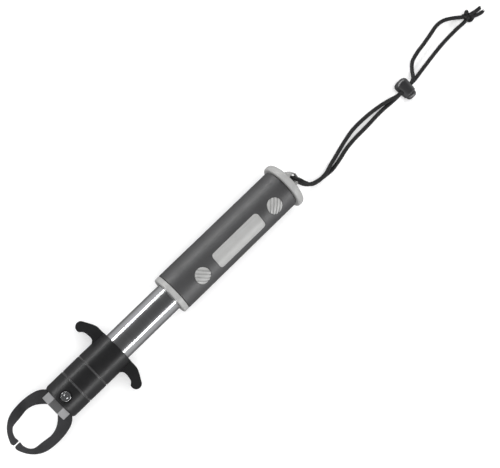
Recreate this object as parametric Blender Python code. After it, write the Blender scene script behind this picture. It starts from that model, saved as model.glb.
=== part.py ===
"""Lip grip for landing fish: two hooked jaws that a finger trigger opens, on a tube that swivels in a handle.

The tool lies flat. Its axis runs along X at the height of the rear flange's radius, the jaws are at -X and
open in the XY plane, and the lanyard lies on the surface z = 0 behind the handle. Metres, +Z up.
"""
import math

import bmesh
import bpy
from mathutils import Matrix, Vector

MM = 0.001

# Clearances
GAP = 0.3 * MM  # between any two pieces that touch or slide
CUT_OVER = 2.0 * MM  # how far a cutter runs past the wall it opens
JOIN = 1.0 * MM  # how deep a joined shape runs into its neighbour

# Lengths along the axis, from the jaw tips to the lug
JAW_REACH = 35.0 * MM  # jaw tips in front of the head's face
HEAD_SHOWN = 5.8 * MM  # head's face in front of the sleeve's mouth
SLEEVE_LENGTH = 53.1 * MM
TUBE_SHOWN = 49.5 * MM  # bare tube between sleeve and handle
RING_LENGTH = 4.1 * MM
GRIP_LENGTH = 106.7 * MM
FLANGE_LENGTH = 5.8 * MM
LUG_REACH = 9.0 * MM  # lug behind the flange

# Radii of the handle and its layers, outside in
FLANGE_LIP = 2.8 * MM  # flange's rim outside the grip
GRIP_WALL = 1.8 * MM
CORE_WALL = 1.0 * MM
BUSH_WALL = 0.8 * MM
TUBE_RADIUS = 10.7 * MM
TUBE_WALL = 1.1 * MM

# Trigger sleeve and its finger wings
SLEEVE_WALL = 2.3 * MM  # around the head's bore
SLEEVE_CHAMFER = 1.4 * MM
MOUTH_STEP = 1.0 * MM  # bore is wider by this where the jaws swing out
MOUTH_DEPTH = 2.4 * MM
HEAD_BORE_CLEARANCE = 0.36 * MM
GROOVE_PLACES = (15.4 * MM, 30.3 * MM)  # behind the mouth
GROOVE_WIDTH = 1.2 * MM
GROOVE_DEPTH = 0.5 * MM
WING_SPAN = 61.4 * MM
WING_ROOT = 8.0 * MM  # wing's width along the axis where it leaves the sleeve
WING_TIP_RADIUS = 3.8 * MM
WING_SWEEP = 4.0 * MM  # how far the tip's centre leans towards the jaws from the arm's middle
WING_DEPTH = 9.0 * MM  # across the jaws' plane
WING_INSET = 0.2 * MM  # wings' rear faces in front of the sleeve's end
WING_BACK = ((0.0, 1.5 * MM), (0.6 * MM, 0.55))  # rear face: sweep, then height at the root and share of the arm
WING_FRONT = ((1.6 * MM, 0.76), (0.9 * MM, 0.64), (0.4 * MM, 0.42))  # front face: sweep, share of the arm
# Foot of the front face on the sleeve: distances ahead of the face and off the sleeve
WING_FOOT = ((0.35 * MM, 3.4 * MM), (0.9 * MM, 1.6 * MM), (2.2 * MM, 0.3 * MM), (3.2 * MM, -0.6 * MM))
WING_FOOT_END = 3.4 * MM

# Jaws
JAW_WIDTH = 36.9 * MM  # outer width of the closed ring
JAW_THICKNESS = 5.0 * MM
JAW_TIP_GAP = 0.8 * MM
OPEN_ANGLE = math.radians(20.0)  # each jaw
TRIGGER_TRAVEL = 8.0 * MM
PIVOT_INSET = 1.5 * MM  # jaw pivot behind the sleeve's mouth
SCREW_INSET = 6.1 * MM  # cross screw behind the sleeve's mouth
HUB_RADIUS = 5.0 * MM
LAP_MARGIN = math.radians(45.0)  # the hub's corner towards the tail, with running clearance
LAP_BACK = math.radians(260.0)  # where the lap ends on the far side of the hub
ROOT_INSET = 0.8 * MM  # jaw's root inside the mouth's bore
ROOT_OUTER = (2.3 * MM, 2.975 * MM)  # last point of the hook's outer side: ahead of the mouth, outside the root
ROOT_START = 0.5 * MM  # the root's full width, behind the mouth
ROOT_SHOULDER = ((2.6 * MM, 1.3 * MM), (4.3 * MM, 3.2 * MM))  # behind the mouth, inside the root
TIP_FACE = (0.885, 0.965)  # the flat face between the tips, from the head (0) to the tips (1)
TIP_CHAMFERS = ((0.872, 0.25 * MM), (0.988, 0.4 * MM))  # the face's two corners, and how far they stand back
TAIL_WALL = 1.6 * MM
PIN_RADIUS = 1.5 * MM  # every pin and the cross screw's shank

# Head
HEAD_STEP = 0.5 * MM  # the octagonal bar's flats inside the tube's outside
HEAD_REAR_WALL = 1.6 * MM
SPIGOT_LENGTH = 10.0 * MM
YOKE_WIDTH = 7.0 * MM
YOKE_PRONG = 2.6 * MM
YOKE_DISC = 3.0 * MM
YOKE_GUIDE_LENGTH = 4.0 * MM  # boss that centres the spring

# Cross screw and its nut
SCREW_HEAD_RADIUS = 3.4 * MM
SCREW_HEAD_HEIGHT = 1.0 * MM
SCREW_HEAD_CHAMFER = 0.8 * MM
CROSS_REACH = 0.65  # of the head's radius
CROSS_WIDTH = 0.9 * MM
CROSS_DEPTH = 0.6 * MM
NUT_WALL = 0.6 * MM  # the nut's barrel round the screw
SCREW_SEAT_PLAY = 0.9 * MM  # counterbore round the screw's head
SCREW_SEAT_WALL = 0.7 * MM  # left between the sleeve's bore and the counterbore's floor

# Return spring
SPRING_WIRE = 1.4 * MM
SPRING_SIDE_PLAY = 1.5 * MM  # between the coil and the tube
SPRING_PLAY = 1.0 * MM  # between the coil and the yoke's boss
SPRING_TURNS = 15

# Swivel inside the handle
TUBE_INSERTION = 31.0 * MM  # tube inside the grip
RING_SPIGOT = 5.3 * MM
RING_ROUND = 1.0 * MM
BUSH_LENGTH = 18.7 * MM
WASHER_THICKNESS = 1.0 * MM
SNAP_THICKNESS = 1.2 * MM
SNAP_DEPTH = 0.6 * MM
SNAP_OPENING = 6.0 * MM
PLUG_LENGTH = 16.0 * MM

# Rear cap
CAP_SPIGOT = 14.0 * MM
CAP_SPIGOT_WALL = 3.8 * MM
RIM_ROUND = 2.8 * MM
LUG_WIDTH = 14.4 * MM
LUG_THICKNESS = 5.0 * MM
LUG_HOLE_RADIUS = 2.5 * MM
LUG_WALL = 0.9 * MM  # behind the hole
SEAL_RADIUS = 0.5 * MM

# Inlays in the grip, in one row turned about the axis from straight up
HANDLE_TURN = math.radians(23.5)
PLATE_SPACE = 7.3 * MM  # between the plate and each disc
PLATE_WIDTH = 12.2 * MM
PLATE_CORNER = 2.6 * MM
DISC_RADIUS = 5.9 * MM
DISC_INSETS = (20.6 * MM, 15.5 * MM)  # discs' middles from the grip's front and rear ends
DISC_TURNS = (math.radians(-45.0), math.radians(45.0))
INLAY_DEPTH = 0.9 * MM
INLAY_PROUD = 0.15 * MM
RIB_COUNT = 4
RIB_GROOVE = 0.9 * MM
RIB_DEPTH = 0.45 * MM

# Cord, cord lock and knot
CORD_RADIUS = 1.5 * MM
LOCK_PLACE = Vector((246.4, -10.0, 6.3)) * MM
LOCK_RADIUS = 5.8 * MM
LOCK_MOUTH_RADIUS = 5.1 * MM  # at the plunger's end
LOCK_CROWN = 4.2 * MM  # rounding of the closed end
LOCK_LENGTH = 13.2 * MM
LOCK_WALL = 1.2 * MM
LOCK_TRAVEL = 1.5 * MM
BUTTON_RADIUS = 4.3 * MM
BUTTON_SHOWN = 3.4 * MM
BUTTON_DOME = 2.9 * MM  # rounding of its end
BUTTON_LAND = 1.0 * MM  # between its hole and its inner end
LOCK_SPRING_WIRE = 0.25 * MM  # wire's radius
LOCK_SPRING_RADIUS = 3.0 * MM
LOCK_CORD_OFFSET = -1.3 * MM  # cords' plane from the lock's middle, along Y
LOCK_CORD_SPACING = 3.3 * MM
KNOT_PLACE = Vector((325.6, -4.6, 4.4)) * MM

# Stations along X that follow from the lengths; the tool's box is centred on x = 0
TOOL_LENGTH = (
    JAW_REACH + HEAD_SHOWN + SLEEVE_LENGTH + TUBE_SHOWN + RING_LENGTH + GRIP_LENGTH + FLANGE_LENGTH
    + LUG_REACH + 2.0 * GAP
)
TIP_X = -TOOL_LENGTH / 2.0
HEAD_X = TIP_X + JAW_REACH
MOUTH_X = HEAD_X + HEAD_SHOWN
SLEEVE_END_X = MOUTH_X + SLEEVE_LENGTH
RING_X = SLEEVE_END_X + TUBE_SHOWN
GRIP_X = RING_X + RING_LENGTH + GAP
GRIP_END_X = GRIP_X + GRIP_LENGTH
FLANGE_X = GRIP_END_X + GAP
FLANGE_END_X = FLANGE_X + FLANGE_LENGTH
PIVOT_X = MOUTH_X + PIVOT_INSET
SCREW_X = MOUTH_X + SCREW_INSET

# Radii that follow from the layers
TUBE_BORE = TUBE_RADIUS - TUBE_WALL
PLUG_RADIUS = TUBE_BORE - GAP
SPRING_RADIUS = TUBE_BORE - SPRING_SIDE_PLAY - SPRING_WIRE / 2.0  # to the middle of the wire
BUSH_BORE = TUBE_RADIUS + GAP
BUSH_RADIUS = BUSH_BORE + BUSH_WALL
CORE_BORE = BUSH_RADIUS + GAP
CORE_RADIUS = CORE_BORE + CORE_WALL
GRIP_RADIUS = CORE_RADIUS + GAP + GRIP_WALL
FLANGE_RADIUS = GRIP_RADIUS + FLANGE_LIP
AXIS_HEIGHT = FLANGE_RADIUS
HEAD_FLAT = TUBE_RADIUS - HEAD_STEP
HEAD_CORNER = HEAD_FLAT / math.cos(math.pi / 8.0)
SLEEVE_HEAD_BORE = HEAD_CORNER + HEAD_BORE_CLEARANCE
MOUTH_BORE = SLEEVE_HEAD_BORE + MOUTH_STEP
SLEEVE_RADIUS = SLEEVE_HEAD_BORE + SLEEVE_WALL
HOLE_RADIUS = PIN_RADIUS + GAP
NUT_SLEEVE_RADIUS = HOLE_RADIUS + NUT_WALL
SCREW_SEAT_RADIUS = SCREW_HEAD_RADIUS + SCREW_SEAT_PLAY

# Cord lock
BUTTON_END_Y = LOCK_CORD_OFFSET + CORD_RADIUS + GAP + BUTTON_LAND

# The row of inlays along the grip
DISC_PLACES = (GRIP_X + DISC_INSETS[0], GRIP_END_X - DISC_INSETS[1])
PLATE_PLACE = (DISC_PLACES[0] + DISC_PLACES[1]) / 2.0
PLATE_LENGTH = DISC_PLACES[1] - DISC_PLACES[0] - 2.0 * (DISC_RADIUS + PLATE_SPACE)

# Jaw tails, head slot and yoke channel
PIN_REACH = SCREW_X - PIVOT_X  # cross screw behind the pivot, jaws closed
CAM_RATE = OPEN_ANGLE / TRIGGER_TRAVEL
TAIL_HALF = HOLE_RADIUS + TAIL_WALL
TAIL_REACH = PIN_REACH + TRIGGER_TRAVEL + TAIL_HALF
SLOT_END_X = PIVOT_X + TAIL_REACH + GAP
HEAD_END_X = SLOT_END_X + HEAD_REAR_WALL
SLOT_HALF = JAW_THICKNESS / 2.0 + GAP
SPIGOT_END_X = HEAD_END_X + SPIGOT_LENGTH
YOKE_DISC_X = SPIGOT_END_X + GAP
TUBE_X = HEAD_END_X + GAP
TUBE_END_X = GRIP_X + TUBE_INSERTION
PLUG_X = TUBE_END_X - PLUG_LENGTH
SPRING_X = YOKE_DISC_X + YOKE_DISC + GAP
SPRING_END_X = PLUG_X - GAP
BUSH_X = GRIP_X + RING_SPIGOT
WASHER_X = BUSH_X + BUSH_LENGTH + GAP
SNAP_X = WASHER_X + WASHER_THICKNESS + GAP
CAP_PIN_X = FLANGE_X - 0.57 * CAP_SPIGOT
SEAL_X = FLANGE_X - CAP_SPIGOT / 4.0

FINE = 36  # sides of the large round pieces
COARSE = 18  # sides of the small ones
DISC_SIDES = 26
UP = Vector((0.0, 0.0, 1.0))


# ---------------------------------------------------------------- shapes


def arc(centre, radius, start, end, steps):
    """Points on an arc from start to end, in degrees, both ends included."""
    points = []
    for i in range(steps + 1):
        angle = math.radians(start + (end - start) * i / steps)
        points.append((centre[0] + radius * math.cos(angle), centre[1] + radius * math.sin(angle)))
    return points


def smooth(points, per_span):
    """A Catmull-Rom curve through the points, which may be 2-D or 3-D."""
    knots = [Vector(p) for p in points]
    knots = [2.0 * knots[0] - knots[1]] + knots + [2.0 * knots[-1] - knots[-2]]
    curve = []
    for a, b, c, d in zip(knots, knots[1:], knots[2:], knots[3:]):
        for i in range(per_span):
            t = i / per_span
            curve.append(
                0.5 * (2.0 * b + (c - a) * t + (2.0 * a - 5.0 * b + 4.0 * c - d) * t**2
                       + (3.0 * b - a - 3.0 * c + d) * t**3)
            )
    curve.append(knots[-2])
    return curve


def turned(profile, sides, axis="X"):
    """A solid of revolution: a closed profile of (place along the axis, radius) turned a full circle."""
    bm = bmesh.new()
    verts = [bm.verts.new((x, 0.0, r)) for x, r in profile]
    edges = [
        bm.edges.new((verts[i - 1], verts[i]))
        for i in range(len(verts))
        if profile[i - 1][1] > 0.0 or profile[i][1] > 0.0  # an edge on the axis would sweep nothing
    ]
    bmesh.ops.spin(
        bm, geom=verts + edges, cent=(0, 0, 0), axis=(1, 0, 0), angle=math.tau, steps=sides, use_merge=True
    )
    bmesh.ops.remove_doubles(bm, verts=bm.verts, dist=1e-6)
    bmesh.ops.recalc_face_normals(bm, faces=bm.faces)
    turns = {"X": Matrix(), "Y": Matrix.Rotation(math.pi / 2, 3, "Z"), "Z": Matrix.Rotation(-math.pi / 2, 3, "Y")}
    bmesh.ops.rotate(bm, verts=bm.verts, cent=(0, 0, 0), matrix=turns[axis].to_3x3())
    return bm


def prism(outline, low, high):
    """An outline in XY extruded from z = low to z = high."""
    bm = bmesh.new()
    face = bm.faces.new([bm.verts.new((p[0], p[1], low)) for p in outline])
    grown = bmesh.ops.extrude_face_region(bm, geom=[face])["geom"]
    verts = [v for v in grown if isinstance(v, bmesh.types.BMVert)]
    bmesh.ops.translate(bm, verts=verts, vec=(0, 0, high - low))
    bmesh.ops.recalc_face_normals(bm, faces=bm.faces)
    return bm


def box(low, high):
    """A box between two corners."""
    outline = [(low[0], low[1]), (high[0], low[1]), (high[0], high[1]), (low[0], high[1])]
    return prism(outline, low[2], high[2])


def pin(radius, low, high, axis="Z", sides=COARSE):
    """A plain round pin between two places on its axis."""
    return turned([(low, 0.0), (low, radius), (high, radius), (high, 0.0)], sides, axis)


def moved(bm, offset):
    bmesh.ops.translate(bm, verts=bm.verts, vec=offset)
    return bm


def rounded_rectangle(length, width, corner, grow=0.0):
    """Outline of a rectangle with round corners, centred on the origin."""
    points = []
    for index, (sx, sy) in enumerate(((1, 1), (-1, 1), (-1, -1), (1, -1))):
        centre = (sx * (length / 2.0 - corner), sy * (width / 2.0 - corner))
        points += arc(centre, corner + grow, 90.0 * index, 90.0 * index + 90.0, 5)
    return points


# ---------------------------------------------------------------- objects


def material(name, colour, roughness, metallic=0.0):
    made = bpy.data.materials.new(name)
    made.use_nodes = True
    shader = made.node_tree.nodes["Principled BSDF"]
    shader.inputs["Base Color"].default_value = (*colour, 1.0)
    shader.inputs["Roughness"].default_value = roughness
    shader.inputs["Metallic"].default_value = metallic
    made.diffuse_color = (*colour, 1.0)
    return made


def empty(name, parent=None, place=(0.0, 0.0, 0.0), turn=0.0):
    """An axis that pieces are parented to."""
    made = bpy.data.objects.new(name, None)
    bpy.context.collection.objects.link(made)
    made.parent = parent
    made.location = place
    made.rotation_euler = (turn, 0.0, 0.0)
    return made


def solid(name, bm, parent, finish):
    """Turns a bmesh into one named piece on its parent axis."""
    mesh = bpy.data.meshes.new(name)
    bm.to_mesh(mesh)
    bm.free()
    mesh.shade_smooth()
    mesh.set_sharp_from_angle(angle=math.radians(35.0))
    made = bpy.data.objects.new(name, mesh)
    bpy.context.collection.objects.link(made)
    made.parent = parent
    mesh.materials.append(finish)
    return made


def shape(piece, operation, *tools):
    """Joins, cuts or keeps what is common with each tool, a bmesh in the piece's own space; gives the last tool."""
    for bm in tools:
        name = f"{piece.name}_tool_{len(piece.modifiers)}"
        tool = solid(name, bm, piece.parent, piece.data.materials[0])
        tool.hide_render = True
        tool.display_type = "WIRE"
        step = piece.modifiers.new(operation.title(), "BOOLEAN")
        step.operation = operation
        step.solver = "EXACT"
        step.object = tool
    return tool


def tube_along(name, points, radius, parent, finish, resolution=2):
    """A round wire or cord through the points, closed at both ends."""
    data = bpy.data.curves.new(name, "CURVE")
    data.dimensions = "3D"
    data.bevel_depth = radius
    data.bevel_resolution = resolution
    data.use_fill_caps = True
    spline = data.splines.new("POLY")
    spline.points.add(len(points) - 1)
    for knot, place in zip(spline.points, points):
        knot.co = (*place, 1.0)
    data.materials.append(finish)
    made = bpy.data.objects.new(name, data)
    bpy.context.collection.objects.link(made)
    made.parent = parent
    return made


def helix(radius, start, end, turns, per_turn, axis="X"):
    """Points of a coil spring along the axis."""
    points = []
    for i in range(turns * per_turn + 1):
        angle = math.tau * i / per_turn
        along = start + (end - start) * i / (turns * per_turn)
        across = (radius * math.cos(angle), radius * math.sin(angle))
        points.append((along, *across) if axis == "X" else (across[0], along, across[1]))
    return points


# ---------------------------------------------------------------- handle


def handle_parts(axis, finishes):
    """Grip, core, front ring, swivel bushes, rear cap with its lug, and the inlays."""
    grip = solid("handle_grip", turned([
        (GRIP_X, GRIP_RADIUS - GRIP_WALL),
        (GRIP_X, GRIP_RADIUS),
        (GRIP_END_X, GRIP_RADIUS),
        (GRIP_END_X, GRIP_RADIUS - GRIP_WALL),
    ], FINE), axis, finishes["rubber"])

    core = solid("handle_core", turned([
        (GRIP_X, CORE_BORE),
        (GRIP_X, CORE_RADIUS),
        (GRIP_END_X - GAP, CORE_RADIUS),
        (GRIP_END_X - GAP, CORE_BORE),
    ], FINE), axis, finishes["core_plastic"])
    shape(core, "DIFFERENCE", moved(pin(HOLE_RADIUS, -GRIP_RADIUS, GRIP_RADIUS, "Y"), (CAP_PIN_X, 0, 0)))

    solid("front_ring", turned([
        (RING_X, BUSH_BORE),
        *arc((RING_X + RING_ROUND, GRIP_RADIUS - RING_ROUND), RING_ROUND, 180.0, 90.0, 3),
        (RING_X + RING_LENGTH, GRIP_RADIUS),
        (RING_X + RING_LENGTH, BUSH_RADIUS),
        (BUSH_X - GAP, BUSH_RADIUS),
        (BUSH_X - GAP, BUSH_BORE),
    ], FINE), axis, finishes["grey_plastic"])

    solid("swivel_bush", turned([
        (BUSH_X, BUSH_BORE),
        (BUSH_X, BUSH_RADIUS),
        (BUSH_X + BUSH_LENGTH, BUSH_RADIUS),
        (BUSH_X + BUSH_LENGTH, BUSH_BORE),
    ], FINE), axis, finishes["bush"])

    rear_cap(axis, finishes)
    inlays(axis, grip, finishes)


def rear_cap(axis, finishes):
    """Flanged cap with a spigot in the core, two locking pins, a seal, and the lanyard lug behind."""
    spigot = BUSH_RADIUS
    start = FLANGE_X - CAP_SPIGOT
    groove = SEAL_RADIUS + GAP
    rim = FLANGE_RADIUS - RIM_ROUND
    cap = solid("rear_cap", turned([
        (start, spigot - CAP_SPIGOT_WALL),
        (start, spigot),
        (SEAL_X - groove, spigot),
        (SEAL_X - groove, spigot - 3.0 * SEAL_RADIUS),
        (SEAL_X + groove, spigot - 3.0 * SEAL_RADIUS),
        (SEAL_X + groove, spigot),
        (FLANGE_X, spigot),
        *arc((FLANGE_X + RIM_ROUND / 2.0, FLANGE_RADIUS - RIM_ROUND / 2.0), RIM_ROUND / 2.0, 180.0, 90.0, 3),
        *arc((FLANGE_END_X - RIM_ROUND, rim), RIM_ROUND, 90.0, 0.0, 5),
        (FLANGE_END_X, 0.0),
        (FLANGE_X - GAP, 0.0),
        (FLANGE_X - GAP, spigot - CAP_SPIGOT_WALL),
    ], FINE), axis, finishes["grey_plastic"])
    lug = [
        (FLANGE_END_X - JOIN + (LUG_REACH + JOIN) * x, LUG_WIDTH / 2.0 * y)
        for x, y in arc((0.0, 0.0), 1.0, -90.0, 90.0, 16)
    ]
    shape(cap, "UNION", prism(lug, -LUG_THICKNESS / 2.0, LUG_THICKNESS / 2.0))
    hole = FLANGE_END_X + LUG_REACH - LUG_WALL - LUG_HOLE_RADIUS
    shape(
        cap, "DIFFERENCE",
        moved(pin(LUG_HOLE_RADIUS, -LUG_THICKNESS, LUG_THICKNESS), (hole, 0, 0)),
        moved(pin(HOLE_RADIUS, -GRIP_RADIUS, GRIP_RADIUS, "Y"), (CAP_PIN_X, 0, 0)),
    )
    inner = spigot - CAP_SPIGOT_WALL + GAP
    for name, side in (("cap_pin_left", 1.0), ("cap_pin_right", -1.0)):
        ends = sorted((side * inner, side * (CORE_RADIUS - GAP)))
        solid(name, moved(pin(PIN_RADIUS, *ends, "Y"), (CAP_PIN_X, 0, 0)), axis, finishes["steel"])
    seal_middle = (SEAL_X, (spigot - 3.0 * SEAL_RADIUS + CORE_BORE) / 2.0)
    solid("cap_seal", turned(arc(seal_middle, SEAL_RADIUS, 0.0, 300.0, 5), FINE), axis, finishes["seal"])


def curved_inlay(outline, low, high, x):
    """The part of a shell between two radii that lies under an outline, as two bmeshes to be intersected."""
    shell = turned([(-PLATE_LENGTH, low), (-PLATE_LENGTH, high), (PLATE_LENGTH, high), (PLATE_LENGTH, low)], FINE)
    return moved(shell, (x, 0, 0)), moved(prism(outline, TUBE_RADIUS, GRIP_RADIUS + CUT_OVER), (x, 0, 0))


def inlays(axis, grip, finishes):
    """Label plate and two ribbed discs, each seated in its own recess in the grip."""
    seat = GRIP_RADIUS - INLAY_DEPTH
    top = GRIP_RADIUS + INLAY_PROUD
    step = 360.0 / DISC_SIDES
    round_outline = arc((0, 0), DISC_RADIUS, step / 3.0, 360.0 - 2.0 * step / 3.0, DISC_SIDES - 1)
    round_recess = arc((0, 0), DISC_RADIUS + GAP, 0.0, 360.0 - step, DISC_SIDES - 1)
    plate = rounded_rectangle(PLATE_LENGTH, PLATE_WIDTH, PLATE_CORNER)
    plate_recess = rounded_rectangle(PLATE_LENGTH, PLATE_WIDTH, PLATE_CORNER, GAP)
    rows = [
        ("label_plate", plate, plate_recess, PLATE_PLACE, None),
        ("grip_disc_front", round_outline, round_recess, DISC_PLACES[0], DISC_TURNS[0]),
        ("grip_disc_rear", round_outline, round_recess, DISC_PLACES[1], DISC_TURNS[1]),
    ]
    for name, outline, recess, x, turn in rows:
        shell, column = curved_inlay(outline, seat + GAP, top, x)
        piece = solid(name, column, axis, finishes["grey_plastic"])
        shape(piece, "INTERSECT", shell)
        if turn is not None:
            pitch = 2.0 * DISC_RADIUS / (RIB_COUNT + 1)
            for i in range(RIB_COUNT):
                across = (i - (RIB_COUNT - 1) / 2.0) * pitch
                groove = box(
                    (-2.0 * DISC_RADIUS, across - RIB_GROOVE / 2.0, top - RIB_DEPTH),
                    (2.0 * DISC_RADIUS, across + RIB_GROOVE / 2.0, top + CUT_OVER),
                )
                bmesh.ops.rotate(groove, verts=groove.verts, matrix=Matrix.Rotation(turn, 3, "Z"))
                shape(piece, "DIFFERENCE", moved(groove, (x, 0, 0)))
        cutter = shape(grip, "DIFFERENCE", moved(prism(recess, 0.0, GRIP_RADIUS + CUT_OVER), (x, 0, 0)))
        shape(cutter, "DIFFERENCE", moved(pin(seat, -PLATE_LENGTH, PLATE_LENGTH, "X", FINE), (x, 0, 0)))


# ---------------------------------------------------------------- barrel


def barrel_parts(axis, finishes):
    """Tube, head, their pins, the return spring and what keeps the tube in the handle."""
    snap_low = SNAP_X - GAP
    snap_high = SNAP_X + SNAP_THICKNESS + GAP
    tube = solid("barrel_tube", turned([
        (TUBE_X, TUBE_BORE),
        (TUBE_X, TUBE_RADIUS),
        (snap_low, TUBE_RADIUS),
        (snap_low, TUBE_RADIUS - SNAP_DEPTH),
        (snap_high, TUBE_RADIUS - SNAP_DEPTH),
        (snap_high, TUBE_RADIUS),
        (TUBE_END_X, TUBE_RADIUS),
        (TUBE_END_X, TUBE_BORE),
    ], FINE), axis, finishes["polished_steel"])
    rivet_x = (HEAD_END_X + SPIGOT_END_X) / 2.0
    plug_pin_x = PLUG_X + PLUG_LENGTH / 3.0
    shape(
        tube, "DIFFERENCE",
        moved(pin(HOLE_RADIUS, -SLEEVE_RADIUS, SLEEVE_RADIUS, "Y"), (rivet_x, 0, 0)),
        moved(pin(HOLE_RADIUS, -SLEEVE_RADIUS, SLEEVE_RADIUS, "Y"), (plug_pin_x, 0, 0)),
    )
    jaw_head(axis, finishes, rivet_x)

    plug = solid("tube_plug", pin(PLUG_RADIUS, PLUG_X, TUBE_END_X - GAP, "X", FINE), axis, finishes["steel"])
    shape(plug, "DIFFERENCE", moved(pin(HOLE_RADIUS, -SLEEVE_RADIUS, SLEEVE_RADIUS, "Y"), (plug_pin_x, 0, 0)))
    reach = TUBE_RADIUS - GAP
    solid("plug_pin", moved(pin(PIN_RADIUS, -reach, reach, "Y"), (plug_pin_x, 0, 0)), axis, finishes["steel"])

    solid("thrust_washer", turned([
        (WASHER_X, BUSH_BORE),
        (WASHER_X, BUSH_RADIUS),
        (WASHER_X + WASHER_THICKNESS, BUSH_RADIUS),
        (WASHER_X + WASHER_THICKNESS, BUSH_BORE),
    ], FINE), axis, finishes["steel"])
    snap = solid("snap_ring", turned([
        (SNAP_X, TUBE_RADIUS - SNAP_DEPTH + GAP),
        (SNAP_X, BUSH_RADIUS),
        (SNAP_X + SNAP_THICKNESS, BUSH_RADIUS),
        (SNAP_X + SNAP_THICKNESS, TUBE_RADIUS - SNAP_DEPTH + GAP),
    ], FINE), axis, finishes["steel"])
    opening = box((SNAP_X - CUT_OVER, -SNAP_OPENING / 2.0, 0.0),
                  (SNAP_X + SNAP_THICKNESS + CUT_OVER, SNAP_OPENING / 2.0, GRIP_RADIUS))
    shape(snap, "DIFFERENCE", opening)

    half = SPRING_WIRE / 2.0
    coil = helix(SPRING_RADIUS, SPRING_X + half, SPRING_END_X - half, SPRING_TURNS, 10)
    tube_along("return_spring", coil, half, axis, finishes["steel"], 1)


def jaw_head(axis, finishes, rivet_x):
    """Octagonal clevis: an open slot for the jaws, a channel for the yoke, and a spigot in the tube."""
    flat = HEAD_FLAT
    corner = HEAD_CORNER
    bm = bmesh.new()
    ring = []
    for i in range(8):
        angle = math.pi / 8.0 + i * math.pi / 4.0
        ring.append(bm.verts.new((HEAD_X, corner * math.cos(angle), corner * math.sin(angle))))
    face = bm.faces.new(ring)
    grown = bmesh.ops.extrude_face_region(bm, geom=[face])["geom"]
    ends = [v for v in grown if isinstance(v, bmesh.types.BMVert)]
    bmesh.ops.translate(bm, verts=ends, vec=(HEAD_END_X - HEAD_X, 0, 0))
    bmesh.ops.recalc_face_normals(bm, faces=bm.faces)
    head = solid("jaw_head", bm, axis, finishes["steel"])
    shape(head, "UNION", pin(PLUG_RADIUS, HEAD_END_X - JOIN, SPIGOT_END_X, "X", FINE))

    channel_y = YOKE_WIDTH / 2.0 + GAP
    channel_z = SLOT_HALF + YOKE_PRONG + GAP
    over = CUT_OVER
    slot = box((HEAD_X - over, -corner - over, -SLOT_HALF), (SLOT_END_X, corner + over, SLOT_HALF))
    channel = box((SCREW_X - GAP, -channel_y, -channel_z), (SPIGOT_END_X + over, channel_y, channel_z))
    travel = [
        *arc((SCREW_X + TRIGGER_TRAVEL, 0.0), HOLE_RADIUS, -90.0, 90.0, 8),
        *arc((SCREW_X, 0.0), HOLE_RADIUS, 90.0, 270.0, 8),
    ]
    rivet = moved(pin(HOLE_RADIUS, -flat - over, flat + over, "Y"), (rivet_x, 0, 0))
    pivot = moved(pin(HOLE_RADIUS, -flat - over, flat + over), (PIVOT_X, 0, 0))
    shape(head, "DIFFERENCE", slot, channel, prism(travel, -corner, corner), pivot, rivet)

    reach = flat - GAP
    solid("jaw_pivot_pin", moved(pin(PIN_RADIUS, -reach, reach), (PIVOT_X, 0, 0)), axis, finishes["steel"])
    for name, side in (("head_rivet_left", 1.0), ("head_rivet_right", -1.0)):
        ends = sorted((side * (channel_y + 0.5 * MM), side * (TUBE_RADIUS - GAP)))
        solid(name, moved(pin(PIN_RADIUS, *ends, "Y"), (rivet_x, 0, 0)), axis, finishes["steel"])


# ---------------------------------------------------------------- trigger


def wing_outline():
    """Plan of both finger wings: a bar across the sleeve whose arms curve towards the jaws."""
    rear = SLEEVE_END_X
    front = rear - WING_ROOT
    tip_y = WING_SPAN / 2.0 - WING_TIP_RADIUS
    tip_x = (rear + front) / 2.0 - WING_SWEEP
    root_y = SLEEVE_RADIUS
    arm = tip_y - root_y
    (root_sweep, root_rise), (back_sweep, back_share) = WING_BACK
    outer = smooth([
        (rear, 0.0),
        (rear - root_sweep, root_y + root_rise),
        (rear - back_sweep, root_y + back_share * arm),
        (tip_x + 0.93 * WING_TIP_RADIUS, tip_y + 0.37 * WING_TIP_RADIUS),
    ], 4)
    tip = arc((tip_x, tip_y), WING_TIP_RADIUS, 30.0, 190.0, 8)
    inner = smooth([
        (tip_x - 0.9 * WING_TIP_RADIUS, tip_y - 0.42 * WING_TIP_RADIUS),
        *((front - sweep, root_y + share * arm) for sweep, share in WING_FRONT),
        *((front - ahead, root_y + off) for ahead, off in WING_FOOT),
    ], 4)
    side = [Vector(p) for p in (*outer[:-1], *tip, *inner, (front - WING_FOOT_END, 0.0))]
    mirrored = [Vector((p[0], -p[1])) for p in reversed(side[1:-1])]
    return side + mirrored


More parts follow.
